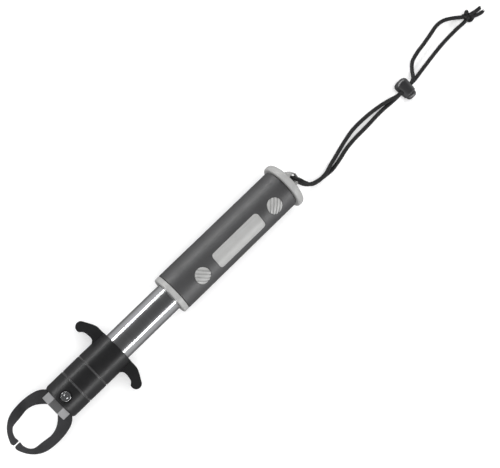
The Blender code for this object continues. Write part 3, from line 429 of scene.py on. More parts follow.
@dataclass
class ShaderGroups:
    """Effects that several finishes share, each built once."""

    grain: bpy.types.NodeTree = field(init=False)
    marks: bpy.types.NodeTree = field(init=False)
    lines: bpy.types.NodeTree = field(init=False)

    def __post_init__(self) -> None:
        """Build the groups."""
        self.grain = self.build_grain()
        self.marks = self.build_marks()
        self.lines = self.build_lines()

    def build_grain(self) -> bpy.types.NodeTree:
        """Fine pebbled texture: a height and a slow shade."""
        group, tree, start = shader_group("moulding grain", {"Scale": 2500.0}, ("Height", "Shade"))
        vector, scale = start["Vector"], start["Scale"]
        pebbles = tree.add("ShaderNodeTexVoronoi", {"Vector": vector, "Scale": scale}, feature="SMOOTH_F1")
        fine = tree.noise(vector, scale, 3.0)
        slow = tree.noise(vector, 55.0, 5.0, Roughness=0.62)
        tree.add("NodeGroupOutput", {
            "Height": tree.maths("MULTIPLY", pebbles.outputs["Distance"], fine),
            "Shade": tree.ramp(slow, -0.35, 1.35),
        })
        return group

    def build_marks(self) -> bpy.types.NodeTree:
        """Faint smears from handling, as a roughness between two values."""
        group, tree, start = shader_group("handling marks", {"Low": 0.3, "High": 0.45}, ("Roughness",))
        smear = tree.noise(start["Vector"], 130.0, 6.0, Roughness=0.6, Distortion=0.7)
        spots = tree.noise(start["Vector"], 900.0, 2.0)
        both = tree.maths("MULTIPLY_ADD", spots, 0.35, smear)
        tree.add("NodeGroupOutput", {"Roughness": tree.ramp(both, start["Low"], start["High"], 0.38, 0.95)})
        return group

    def build_lines(self) -> bpy.types.NodeTree:
        """Polishing or turning lines round the X axis, as a height and a mask."""
        group, tree, start = shader_group("turning lines", {"Scale": 1.0}, ("Height", "Mask"))
        levels = {}
        for label, stretch, detail in (("Height", (9000.0, 35.0, 35.0), 3.0), ("Mask", (700.0, 12.0, 12.0), 2.0)):
            stretched = tree.add("ShaderNodeMapping", {"Vector": start["Vector"], "Scale": stretch})
            levels[label] = tree.noise(stretched.outputs["Vector"], start["Scale"], detail)
        tree.add("NodeGroupOutput", levels)
        return group


# ---------------------------------------------------------------- finishes


class Surface(Enum):
    """Kinds of surface texture."""

    GRAINED = "grained"
    TURNED = "turned"
    BRAIDED = "braided"


@dataclass(frozen=True)
class Finish:
    """One finish: its record slot, its colour and how it catches light."""

    name: str
    slot: str
    colour: tuple[float, float, float]
    low: float  # roughness, from here
    high: float  # to here
    surface: Surface = Surface.GRAINED
    metallic: float = 0.0
    # shade: spread of the colour; random tone on most finishes, painted shade and highlight on the braided cord
    shade: float = 0.12
    grain: float = 2500.0
    depth: float = 0.03 * MM
    specular: float = 0.5
    coat: float = 0.0

    def material(self, groups: ShaderGroups) -> bpy.types.Material:
        """Build the finish's material.

        Args:
            groups: The shared shader groups.

        Returns:
            The material.
        """
        made = bpy.data.materials.new(self.name)
        made.use_nodes = True
        made.diffuse_color = (*self.colour, 1.0)
        made.node_tree.nodes.clear()
        tree = Tree(made.node_tree)
        space = tree.add("ShaderNodeTexCoord").outputs["Object"]
        grain = tree.add("ShaderNodeGroup", {"Vector": space, "Scale": self.grain}, node_tree=groups.grain)
        marks = tree.add("ShaderNodeGroup", {"Vector": space, "Low": self.low, "High": self.high},
                         node_tree=groups.marks)
        height, mask = grain.outputs["Height"], grain.outputs["Shade"]
        if self.surface is Surface.TURNED:
            lines = tree.add("ShaderNodeGroup", {"Vector": space}, node_tree=groups.lines)
            height, mask = lines.outputs["Height"], lines.outputs["Mask"]
        # Painted shade and highlight on the cord: its colour runs from darker in the braid's valleys to lighter on
        # its ridges, following the relief height.
        if self.surface is Surface.BRAIDED:
            mask = tree.add("ShaderNodeAttribute", attribute_name="relief").outputs["Fac"]
        dark, light = ((*(min(1.0, c * share) for c in self.colour), 1.0)
                       for share in (1.0 - self.shade, 1.0 + self.shade))
        colour = tree.add("ShaderNodeMix", {"Factor": mask, MIX_FIRST: dark, MIX_SECOND: light}, data_type="RGBA",
                          blend_type="MIX")
        bump = tree.add("ShaderNodeBump", {"Strength": 1.0, "Distance": self.depth, "Height": height})
        shader = tree.add("ShaderNodeBsdfPrincipled", {
            "Base Color": colour.outputs[MIX_RESULT], "Roughness": marks.outputs["Roughness"],
            "Normal": bump.outputs["Normal"], "Metallic": self.metallic, "Specular IOR Level": self.specular,
            "Coat Weight": self.coat, "Coat Roughness": 0.12,
        })
        tree.add("ShaderNodeOutputMaterial", {"Surface": shader.outputs["BSDF"]})
        return made


class Finishes(Enum):
    """Every finish of the tool."""

    GRIP_RUBBER = Finish("grip rubber", "grip_rubber", (0.030, 0.030, 0.031), 0.46, 0.58,
                         shade=0.25, grain=3200.0, depth=0.04 * MM, specular=1.0)
    CORE = Finish("core plastic", "core_plastic", (0.12, 0.12, 0.12), 0.45, 0.6)
    GREY_PLASTIC = Finish("light grey plastic", "grey_plastic", (0.33, 0.33, 0.325), 0.28, 0.42,
                          shade=0.07, grain=2600.0, depth=0.02 * MM)
    BLACK_PLASTIC = Finish("black plastic", "black_plastic", (0.009, 0.009, 0.0095), 0.30, 0.44,
                           shade=0.3, grain=3600.0, depth=0.02 * MM, specular=0.42)
    # Painted highlight: a paler black plastic for the groove walls, standing in for the light caught along the
    # grooves.
    GROOVE_HIGHLIGHT_PLASTIC = Finish("black plastic with painted groove highlight", "black_plastic", (0.055, 0.055, 0.056), 0.22,
                            0.34, shade=0.5, grain=900.0, depth=0.02 * MM, specular=0.7)
    LOCK_PLASTIC = Finish("cord lock plastic", "black_plastic", (0.016, 0.016, 0.017), 0.26, 0.36,
                          shade=0.3, grain=1800.0, depth=0.01 * MM, specular=1.0, coat=0.6)
    JAW_COATING = Finish("black coated steel", "coated_steel", (0.040, 0.040, 0.042), 0.34, 0.5,
                         metallic=0.4, shade=0.55, grain=1200.0, depth=0.03 * MM)
    HEAD_STEEL = Finish("bead blasted steel", "steel", (0.43, 0.43, 0.435), 0.26, 0.38, metallic=0.93,
                        shade=0.12, grain=4200.0, depth=0.012 * MM)
    PLAIN_STEEL = Finish("plain steel", "steel", (0.52, 0.52, 0.53), 0.22, 0.38, Surface.TURNED, metallic=1.0,
                         shade=0.08, depth=0.01 * MM)
    POLISHED_STEEL = Finish("polished steel", "polished_steel", (0.66, 0.665, 0.675), 0.12, 0.22,
                            Surface.TURNED, metallic=1.0, shade=0.05, depth=0.004 * MM)
    BUSH = Finish("acetal", "bush", (0.62, 0.60, 0.55), 0.35, 0.5)
    SEAL = Finish("seal rubber", "seal", (0.03, 0.03, 0.03), 0.5, 0.65)
    # The cord's shade sets the strength of the painted shade in the braid's valleys and the painted highlight on its
    # ridges.
    CORD = Finish("braided cord", "cord", (0.010, 0.010, 0.0105), 0.5, 0.7, Surface.BRAIDED, shade=0.75,
                  grain=5200.0, depth=0.05 * MM, specular=0.35)


@dataclass
class Workshop:
    """Holds the finishes and puts pieces on their bodies."""

    groups: ShaderGroups = field(default_factory=ShaderGroups)
    made: dict[Finishes, bpy.types.Material] = field(default_factory=dict)

    def material(self, finish: Finishes) -> bpy.types.Material:
        """Give the material of a finish, built at first use."""
        if finish not in self.made:
            self.made[finish] = finish.value.material(self.groups)
        return self.made[finish]

    def shade(self, mesh: bpy.types.Mesh, finish: Finishes) -> None:
        """Give a mesh its finish and smooth shading up to sharp edges.

        Args:
            mesh: The mesh.
            finish: Its finish.
        """
        mesh.materials.clear()
        mesh.materials.append(self.material(finish))
        mesh.shade_smooth()
        mesh.set_sharp_from_angle(angle=SMOOTH_ANGLE)

    def dress(self, finish: Finishes, *nodes: str) -> None:
        """Give CAD nodes that stay visible their finish.

        Args:
            finish: The finish.
            *nodes: Names of the CAD nodes.
        """
        for node in nodes:
            self.shade(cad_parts[node].data, finish)
            log.info("dressed %s", node)

    def finish(self, piece: bpy.types.Object, body: str, finish: Finishes, *nodes: str,
               weighted: bool = False) -> bpy.types.Object:
        """Shade a new piece, give it its finish and put it on its body.

        Args:
            piece: The piece.
            body: Body that it rides on.
            finish: Its finish.
            *nodes: CAD nodes that it stands for.
            weighted: Whether large faces keep the say over the normals at their rounded edges.

        Returns:
            The piece.
        """
        mesh = piece.data
        self.shade(mesh, finish)
        for face in mesh.polygons:
            face.material_index = 0
        if weighted:
            piece.modifiers.new("normals", "WEIGHTED_NORMAL").keep_sharp = True
        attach(piece, body)
        if nodes:
            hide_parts(*nodes)
        log.info("made %s with %d faces", piece.name, len(mesh.polygons))
        return piece


# ---------------------------------------------------------------- handle


@dataclass
class Handle:
    """Rubber grip with its inlays, front ring, and rear cap with the lanyard lug."""

    shop: Workshop
    turn: float = math.radians(23.5)
    grip_radius: float = 15.2 * MM
    grip_bore: float = 13.4 * MM
    recess_depth: float = 0.9 * MM
    gap: float = 0.3 * MM
    inlay_top: float = 0.75 * MM
    plate_length: float = 44.2 * MM
    plate_width: float = 12.2 * MM
    plate_corner: float = 2.6 * MM
    disc_radius: float = 5.9 * MM
    groove_count: int = 4
    groove_half: float = 0.55 * MM
    groove_depth: float = 0.6 * MM
    lug_width: float = 14.4 * MM
    lug_thickness: float = 5.0 * MM
    lug_reach: float = 9.0 * MM
    lug_wall: float = 0.9 * MM
    hole_radius: float = 2.5 * MM
    rim: float = 2.8 * MM
    body: str = "handle"

    def build(self) -> None:
        """Make every piece of the handle."""
        self.grip()
        self.label_plate()
        self.disc("grip_disc_front", -45.0)
        self.disc("grip_disc_rear", 45.0)
        self.front_ring()
        self.rear_cap()
        self.shop.dress(Finishes.CORE, "handle_core")
        self.shop.dress(Finishes.BUSH, "swivel_bush")
        self.shop.dress(Finishes.SEAL, "cap_seal")
        self.shop.dress(Finishes.PLAIN_STEEL, "cap_pin_left", "cap_pin_right")

    def disc_outline(self, grow: float) -> list[Point]:
        """Outline of a disc or of its recess."""
        return arc((0.0, 0.0), self.disc_radius + grow, 0.0, 352.5, 47)

    def grip(self) -> None:
        """Rubber sleeve with rolled ends and a recess for each inlay."""
        box = Span.of("handle_grip")
        roll = 0.6 * MM
        grip = new_object("rubber_grip", spun([
            (box.low.x, self.grip_bore, 0.0),
            (box.low.x, self.grip_radius, roll),
            (box.high.x, self.grip_radius, roll),
            (box.high.x, self.grip_bore, 0.0),
        ]))
        seat = self.grip_radius - self.recess_depth
        outlines = {
            "label_plate": rounded_rectangle(self.plate_length, self.plate_width, self.plate_corner, self.gap),
            "grip_disc_front": self.disc_outline(self.gap),
            "grip_disc_rear": self.disc_outline(self.gap),
        }
        for node, outline in outlines.items():
            x = Span.of(node).centre.x
            cutter = new_object("cutter", shifted(plate(outline, 0.0, 2.0 * self.grip_radius), x))
            carve(cutter, "DIFFERENCE", spun([(box.low.x, seat, 0.0), (box.high.x, seat, 0.0)], solid=True))
            shape = bmesh.new()
            shape.from_mesh(cutter.data)
            bpy.data.objects.remove(cutter, do_unlink=True)
            carve(grip, "DIFFERENCE", shape)
        grip.data.transform(tool_axis(self.turn))
        self.shop.finish(grip, self.body, Finishes.GRIP_RUBBER, "handle_grip", weighted=True)

    def inlay(self, name: str, bm: bmesh.types.BMesh, node: str) -> None:
        """Bend a flat inlay onto its seat and finish it.

        Args:
            name: The piece's name.
            bm: The flat inlay, with its foot at z = 0.
            node: CAD node that it stands for.
        """
        seat = self.grip_radius - self.recess_depth + self.gap
        shifted(wrapped(bm, seat), Span.of(node).centre.x)
        piece = new_object(name, placed(bm, tool_axis(self.turn)))
        self.shop.finish(piece, self.body, Finishes.GREY_PLASTIC, node)

    def label_plate(self) -> None:
        """Blank plate with softened edges and a fine raised border line."""
        edge = 0.28 * MM
        bm = plate(rounded_rectangle(self.plate_length, self.plate_width, self.plate_corner), 0.0,
                   self.inlay_top, edge, 3)
        top = max(bm.faces, key=lambda face: face.calc_center_median().z)
        frame_width = 0.7 * MM
        bmesh.ops.inset_region(bm, faces=[top], thickness=frame_width, depth=0.0)
        bmesh.ops.inset_region(bm, faces=[top], thickness=0.15 * MM, depth=-0.12 * MM)
        step = 0.9 * MM
        count = int(self.plate_width / 2.0 / step)
        sliced(bm, [step * i for i in range(-count, count + 1)], Vector((0.0, 1.0, 0.0)))
        self.inlay("plate_inlay", bm, "label_plate")

    def disc(self, node: str, turn: float) -> None:
        """Round inlay with straight grooves across it.

        Args:
            node: CAD node that it stands for.
            turn: Direction of the grooves from the tool's axis, in degrees.
        """
        bm = plate(self.disc_outline(0.0), 0.0, self.inlay_top, 0.25 * MM, 3)
        across = Vector((-math.sin(math.radians(turn)), math.cos(math.radians(turn)), 0.0))
        pitch = 2.0 * self.disc_radius / (self.groove_count + 1)
        middles = [(i - (self.groove_count - 1) / 2.0) * pitch for i in range(self.groove_count)]
        floor = 0.6 * self.groove_half
        places = [m + side for m in middles for side in (-self.groove_half, -floor, floor, self.groove_half)]
        sliced(bm, places, across)
        sliced(bm, [1.2 * MM * i for i in range(-4, 5)], Vector((0.0, 1.0, 0.0)))
        for vert in bm.verts:
            offset = vert.co.dot(across)
            in_groove = any(abs(offset - middle) < floor + 0.01 * MM for middle in middles)
            if vert.co.z > self.inlay_top - 0.3 * MM and in_groove:
                vert.co.z -= self.groove_depth
        self.inlay(f"{node}_inlay", bm, node)

    def front_ring(self) -> None:
        """Collar that the tube turns in, with its spigot under the grip."""
        ring = Span.of("front_ring")
        bush = Span.of("swivel_bush")
        tube = Span.of("barrel_tube")
        bore = tube.size.z / 2.0 + self.gap
        spigot = bush.size.z / 2.0
        shoulder = Span.of("handle_grip").low.x - self.gap
        bm = spun([
            (ring.low.x, bore, 0.25 * MM),
            (ring.low.x, self.grip_radius, 1.0 * MM),
            (shoulder, self.grip_radius, 0.25 * MM),
            (shoulder, spigot, 0.0),
            (ring.high.x, spigot, 0.0),
            (ring.high.x, bore, 0.0),
        ])
        piece = new_object("front_collar", placed(bm, tool_axis(self.turn)))
        self.shop.finish(piece, self.body, Finishes.GREY_PLASTIC, "front_ring")

    def rear_cap(self) -> None:
        """Flanged cap with a rolled rim, a softened lug and a flared lanyard hole."""
        cap = Span.of("rear_cap")
        radius = cap.size.z / 2.0
        flange = Span.of("handle_grip").high.x + self.gap
        spigot = Span.of("swivel_bush").size.z / 2.0
        face = cap.high.x - self.lug_reach
        bore = spigot - 3.8 * MM
        piece = new_object("cap_with_lug", spun([
            (cap.low.x, bore, 0.0),
            (cap.low.x, spigot, 0.3 * MM),
            (flange, spigot, 0.0),
            (flange, radius, self.rim / 2.0),
            (face, radius, self.rim),
            (face, 0.0, 0.0),
            (flange - self.gap, 0.0, 0.0),
            (flange - self.gap, bore, 0.0),
        ]))
        sunk = 1.0 * MM
        outline = [
            (face - sunk + (self.lug_reach + sunk) * x, self.lug_width / 2.0 * y)
            for x, y in arc((0.0, 0.0), 1.0, -90.0, 90.0, 32)
        ]
        half = self.lug_thickness / 2.0
        carve(piece, "UNION", plate(outline, -half, half, 1.7 * MM, 6))
        hole = cap.high.x - self.lug_wall - self.hole_radius
        flare = 0.8 * MM
        over = 1.0 * MM
        far = half + over
        cutter = spun([
            (-far, self.hole_radius + flare + over, 0.0),
            (-half, self.hole_radius + flare, 0.0),
            (-half + flare, self.hole_radius, 0.5 * MM),
            (half - flare, self.hole_radius, 0.5 * MM),
            (half, self.hole_radius + flare, 0.0),
            (far, self.hole_radius + flare + over, 0.0),
        ], 48, Facing.Z, solid=True)
        carve(piece, "DIFFERENCE", shifted(cutter, hole))
        piece.data.transform(tool_axis(self.turn))
        self.shop.finish(piece, self.body, Finishes.GREY_PLASTIC, "rear_cap", weighted=True)


# ---------------------------------------------------------------- barrel


@dataclass
class Barrel:
    """Polished tube with the octagonal head that carries the jaws."""

    shop: Workshop
    tube_wall: float = 1.1 * MM
    head_rounding: float = 0.3 * MM  # asked for, under 0.01 mm comes out
    body: str = "barrel"

    def build(self) -> None:
        """Make the tube and the head and dress the pieces inside."""
        box = Span.of("barrel_tube")
        radius = box.size.z / 2.0
        roll = 0.35 * MM
        tube = new_object("polished_tube", placed(spun([
            (box.low.x, radius - self.tube_wall, 0.1 * MM),
            (box.low.x, radius, roll),
            (box.high.x, radius, roll),
            (box.high.x, radius - self.tube_wall, 0.1 * MM),
        ], 128), tool_axis()))
        self.shop.finish(tube, self.body, Finishes.POLISHED_STEEL, "barrel_tube")
        head = new_object("octagonal_head", merged_copy("jaw_head", self.head_rounding, 2))
        self.shop.finish(head, self.body, Finishes.HEAD_STEEL, "jaw_head", weighted=True)
        self.shop.dress(Finishes.PLAIN_STEEL, "head_rivet_left", "head_rivet_right", "jaw_pivot_pin", "tube_plug",
                        "plug_pin", "thrust_washer", "snap_ring", "return_spring")


# ---------------------------------------------------------------- trigger


@dataclass
class Trigger:
    """Black sleeve with two finger wings, and the cross screw that works the jaws."""

    shop: Workshop
    radius: float = 13.7 * MM
    chamfer: float = 1.4 * MM
    grooves: tuple[float, float] = (15.4 * MM, 30.3 * MM)
    groove_half: float = 0.6 * MM
    groove_depth: float = 0.5 * MM
    mouth_bore: float = 12.4 * MM
    mouth_depth: float = 2.4 * MM
    head_bore: float = 11.4 * MM
    gap: float = 0.3 * MM
    wing_root: float = 8.0 * MM
    wing_tip: float = 3.8 * MM
    wing_sweep: float = 4.0 * MM
    wing_depth: float = 9.0 * MM
    wing_inset: float = 0.2 * MM
    wing_front: tuple[Point, ...] = ((1.6 * MM, 0.76), (0.9 * MM, 0.64), (0.4 * MM, 0.42))  # sweep, share of the arm
    wing_foot: tuple[Point, ...] = (  # ahead of the wing's face, off the sleeve
        (0.35 * MM, 3.4 * MM), (0.9 * MM, 1.6 * MM), (2.2 * MM, 0.3 * MM), (3.2 * MM, -0.6 * MM))
    wing_foot_end: float = 3.4 * MM
    wing_rounding: float = 1.3 * MM
    seat_radius: float = 4.3 * MM
    seat_wall: float = 0.7 * MM
    hole_radius: float = 1.8 * MM
    nut_radius: float = 2.7 * MM
    screw_radius: float = 3.4 * MM
    screw_height: float = 1.0 * MM
    body: str = "trigger"

    def build(self) -> None:
        """Make the sleeve and the screw and dress the pieces inside."""
        self.sleeve()
        self.screw()
        self.shop.dress(Finishes.PLAIN_STEEL, "cross_nut", "spring_yoke")

    def wings(self, rear: float, span: float) -> list[Vector]:
        """Plan of both finger wings, a bar whose arms curve towards the jaws.

        Args:
            rear: Place of the wings' rear faces.
            span: Distance between the wings' tips.

        Returns:
            The outline.
        """
        front = rear - self.wing_root
        tip_y = span / 2.0 - self.wing_tip
        tip_x = (rear + front) / 2.0 - self.wing_sweep
        root = self.radius
        arm = tip_y - root
        outer = flowing([
            (rear, 0.0),
            (rear, root + 1.5 * MM),
            (rear - 0.6 * MM, root + 0.55 * arm),
            (tip_x + 0.93 * self.wing_tip, tip_y + 0.37 * self.wing_tip),
        ], 8)
        tip = arc((tip_x, tip_y), self.wing_tip, 30.0, 190.0, 16)
        inner = flowing([
            (tip_x - 0.9 * self.wing_tip, tip_y - 0.42 * self.wing_tip),
            *((front - sweep, root + share * arm) for sweep, share in self.wing_front),
            *((front - ahead, root + off) for ahead, off in self.wing_foot),
        ], 8)
        side = [Vector(p) for p in (*outer[:-1], *tip, *inner, (front - self.wing_foot_end, 0.0))]
        return side + [Vector((p[0], -p[1])) for p in reversed(side[1:-1])]

    def sleeve(self) -> None:
        """Sleeve with two V grooves, wings with rounded edges, stepped bore and screw seats."""
        box = Span.of("trigger_sleeve")
        mouth, end = box.low.x, box.high.x
        profile: list[Corner] = [
            (mouth, self.radius - self.chamfer / 2.0, 0.3 * MM),
            (mouth + self.chamfer, self.radius, 0.5 * MM),
        ]
        for place in self.grooves:
            x = mouth + place
            profile += [
                (x - self.groove_half, self.radius, 0.15 * MM),
                (x, self.radius - self.groove_depth, 0.1 * MM),
                (x + self.groove_half, self.radius, 0.15 * MM),
            ]
        profile.append((end, self.radius, 0.5 * MM))
        sleeve = new_object("trigger_with_wings", spun(profile, solid=True))
        half = self.wing_depth / 2.0
        wings = self.wings(end - self.wing_inset, box.size.y)
        carve(sleeve, "UNION", plate(wings, -half, half, self.wing_rounding, 4))
        tube_bore = Span.of("barrel_tube").size.z / 2.0 + self.gap
        tube_front = Span.of("barrel_tube").low.x
        over = 2.0 * MM
        carve(sleeve, "DIFFERENCE", spun([
            (mouth - over, self.mouth_bore, 0.0),
            (mouth + self.mouth_depth, self.mouth_bore, 0.0),
            (mouth + self.mouth_depth, self.head_bore, 0.0),
            (tube_front, self.head_bore, 0.0),
            (tube_front, tube_bore, 0.0),
            (end + over, tube_bore, 0.0),
        ], solid=True))
        seat = self.head_bore + self.seat_wall
        outside = self.radius + over
        screw_x = Span.of("cross_screw").centre.x
        for side, hole in ((1.0, self.hole_radius), (-1.0, self.nut_radius)):
            carve(sleeve, "DIFFERENCE", shifted(spun([
                (0.0, hole, 0.0),
                (side * seat, hole, 0.0),
                (side * seat, self.seat_radius, 0.0),
                (side * outside, self.seat_radius, 0.0),
            ], 48, Facing.Z, solid=True), screw_x))
        sleeve.data.transform(tool_axis())
        self.shop.finish(sleeve, self.body, Finishes.BLACK_PLASTIC, "trigger_sleeve", weighted=True)
        self.paint_groove_highlights(sleeve, mouth)

    def paint_groove_highlights(self, sleeve: bpy.types.Object, mouth: float) -> None:
        """Paint a highlight on the walls of both grooves: a paler black plastic stands in for the light that their
        edges catch.

        Args:
            sleeve: The finished sleeve.
            mouth: Place of the sleeve's mouth.
        """
        axis_height = Span.of("barrel_tube").centre.z
        # painted highlight: the groove walls get the paler black plastic
        sleeve.data.materials.append(self.shop.material(Finishes.GROOVE_HIGHLIGHT_PLASTIC))
        for face in sleeve.data.polygons:
            reach = math.hypot(face.center.y, face.center.z - axis_height)
            if not self.radius - self.groove_depth - 0.1 * MM < reach < self.radius - 0.04 * MM:
                continue
            if any(abs(face.center.x - mouth - place) < self.groove_half + 0.1 * MM for place in self.grooves):
                face.material_index = 1

    def screw(self) -> None:
        """Pan-head screw with a tapered cross recess."""
        x = Span.of("cross_screw").centre.x
        under = self.head_bore + self.seat_wall + self.gap
        top = under + self.screw_height
        shank = self.hole_radius - self.gap
        screw = new_object("pan_screw", spun([
            (-under, shank, 0.2 * MM),
            (under, shank, 0.0),
            (under, self.screw_radius, 0.15 * MM),
            (top - 0.4 * MM, self.screw_radius, 0.2 * MM),
            (top, self.screw_radius - 1.2 * MM, 0.5 * MM),
        ], 64, Facing.Z, solid=True))
        arm, width, depth = 0.62 * self.screw_radius, 0.45 * MM, 0.75 * MM
        for quarter in (0.0, 90.0):
            slot = plate([(-arm, -width), (arm, -width), (arm, width), (-arm, width)], top - depth, top + depth)
            for vert in slot.verts:
                if vert.co.z < top:
                    vert.co.x *= 0.55
                    vert.co.y *= 0.7
            carve(screw, "DIFFERENCE", placed(slot, Matrix.Rotation(math.radians(quarter), 4, "Z")))
        screw.data.transform(tool_axis() @ Matrix.Translation((x, 0.0, 0.0)))
        self.shop.finish(screw, self.body, Finishes.POLISHED_STEEL, "cross_screw", weighted=True)


# ---------------------------------------------------------------- jaws


@dataclass
class Jaws:
    """The two hooked jaws, close copies of their solids."""

    shop: Workshop
    rounding: float = 0.85 * MM  # asked for, about 0.1 mm at most comes out

    def build(self) -> None:
        """Make both jaws from their CAD nodes."""
        for node in ("jaw_left", "jaw_right"):
            piece = new_object(f"{node}_hook", merged_copy(node, self.rounding, 3))
            self.shop.finish(piece, node, Finishes.JAW_COATING, node, weighted=True)


# ---------------------------------------------------------------- lanyard

STRAND_A = (
    (131.4, -0.25, 18.1), (131.4, -1.2, 20.5), (131.6, -2.6, 22.8), (132.3, -5.0, 24.5), (133.2, -7.7, 24.4),
    (134.6, -10.0, 22.8), (136.5, -11.9, 19.9), (139.2, -13.3, 16.0), (142.3, -14.3, 11.8), (145.5, -14.9, 8.2),
    (149.2, -15.4, 5.6), (156.0, -15.1, 5.0), (162.5, -13.2, 4.3), (169.5, -11.6, 2.7), (177.0, -9.7, 1.7),
    (186.1, -7.5, 1.6), (195.3, -5.9, 1.6), (205.6, -5.6, 1.6), (215.5, -6.2, 1.6), (223.3, -7.2, 2.1),
    (230.3, -8.8, 4.6), (236.0, -10.6, 7.0), (241.0, -11.3, 7.95), (246.4, -11.3, 7.95), (251.8, -11.3, 7.95),
    (257.0, -9.4, 6.6), (262.0, -4.8, 3.4), (268.0, -0.2, 1.7), (276.5, 2.2, 1.6), (285.0, 3.5, 1.6),
    (294.2, 5.1, 1.6), (302.6, 6.7, 1.6), (309.5, 6.0, 1.7), (315.7, 2.7, 2.9), (321.3, -2.0, 4.7),
)
STRAND_B = (
    (131.4, -0.1, 17.7), (131.4, 0.7, 15.3), (132.0, 0.6, 12.6), (133.3, -1.4, 9.9), (135.1, -4.8, 7.4),
    (137.4, -8.5, 5.1), (140.5, -11.7, 3.1), (144.8, -14.0, 1.9), (150.5, -15.3, 1.6), (156.0, -16.0, 1.6),
    (162.5, -16.4, 1.6), (171.8, -14.9, 1.6), (180.9, -12.8, 1.6), (190.6, -11.7, 1.6), (199.5, -11.5, 1.6),
    (207.5, -11.3, 1.6), (216.5, -10.8, 1.6), (224.5, -10.8, 1.6), (231.0, -11.2, 2.0), (236.2, -11.5, 3.6),
    (241.0, -11.3, 4.6), (246.4, -11.3, 4.65), (251.8, -11.3, 4.6), (258.5, -11.3, 2.7), (266.5, -10.2, 1.6),
    (275.8, -8.9, 1.6), (284.7, -7.7, 1.6), (294.9, -6.6, 1.6), (304.8, -6.1, 1.6), (314.0, -6.0, 2.2),
    (321.6, -6.2, 3.5),
)
KNOT_MIDDLE = (325.6, -4.6, 4.4)
KNOT_TAILS = (
    ((325.0, -4.6, 4.6), (329.5, -5.4, 4.4), (335.0, -6.4, 3.2), (339.3, -6.6, 1.9)),
    ((325.0, -6.4, 4.0), (330.0, -8.0, 3.6), (335.5, -9.7, 2.6), (339.0, -10.3, 1.8)),
)


@dataclass
class BraidedTube:
    """A braided cord swept along a path, with the braid as real relief."""

    path: list[Vector]
    radius: float = 1.5 * MM
    sides: int = 20
    plaits: int = 4  # ridges round the cord in each direction
    pitch: float = 5.2 * MM  # length of one turn of a ridge
    relief: float = 0.11 * MM
    middle: float = 0.55  # height on the braid that keeps the cord's radius
    step: float = 0.32 * MM

    def stations(self) -> list[tuple[Vector, Vector, float]]:
        """Points along the path at even steps.

        Returns:
            The place, the heading and the distance from the start of each point.
        """
        steps = runs(self.path)
        total = sum(steps)
        count = max(2, round(total / self.step))
        places: list[Vector] = []
        index, walked = 0, 0.0
        for i in range(count + 1):
            distance = total * i / count
            while index < len(steps) - 1 and walked + steps[index] < distance:
                walked += steps[index]
                index += 1
            share = min(1.0, (distance - walked) / steps[index])
            places.append(self.path[index].lerp(self.path[index + 1], share))
        result = []
        for i, place in enumerate(places):
            heading = (places[min(i + 1, count)] - places[max(i - 1, 0)]).normalized()
            result.append((place, heading, total * i / count))
        return result

    def height(self, angle: float, distance: float) -> float:
        """Height of the braid at a point, from 0 in a valley to 1 on a ridge."""
        twist = math.tau * distance / self.pitch
        one = math.cos(self.plaits * (angle + twist))
        other = math.cos(self.plaits * (angle - twist))
        return 0.25 * (2.0 + one + other) * (0.75 + 0.25 * max(one, other))

    def sweep(self) -> bmesh.types.BMesh:
        """Extrude a ring along the path and raise the braid on it.

        Returns:
            The closed tube, with the relief in a vertex layer.
        """
        bm = bmesh.new()
        layer = bm.verts.layers.float.new("relief")
        stations = self.stations()
        up = Vector((0.0, 0.0, 1.0)) if abs(stations[0][1].z) < 0.9 else Vector((1.0, 0.0, 0.0))
        bmesh.ops.create_circle(bm, segments=self.sides, radius=self.radius, cap_ends=True)
        ring = bm.verts[:]
        edges = bm.edges[:]
        previous = Matrix.Identity(4)
        for index, (place, heading, distance) in enumerate(stations):
            side = up.cross(heading).normalized()
            up = heading.cross(side).normalized()
            here = Matrix((side, up, heading)).transposed().to_4x4()
            here.translation = place
            if index:
                grown = bmesh.ops.extrude_edge_only(bm, edges=edges)["geom"]
                ring = [v for v in grown if isinstance(v, bmesh.types.BMVert)]
                edges = [e for e in grown if isinstance(e, bmesh.types.BMEdge)
                         and all(v in ring for v in e.verts)]
            bmesh.ops.transform(bm, matrix=here @ previous.inverted(), verts=ring)
            previous = here
            inverse = here.inverted()
            for vert in ring:
                local = inverse @ vert.co
                angle = math.atan2(local.y, local.x)
                vert[layer] = self.height(angle, distance)
        bmesh.ops.contextual_create(bm, geom=edges)
        bmesh.ops.recalc_face_normals(bm, faces=bm.faces)
        bm.normal_update()
        moves = [(vert, vert.normal * self.relief * (vert[layer] - self.middle)) for vert in bm.verts]
        for vert, move in moves:
            vert.co += move
        return bm


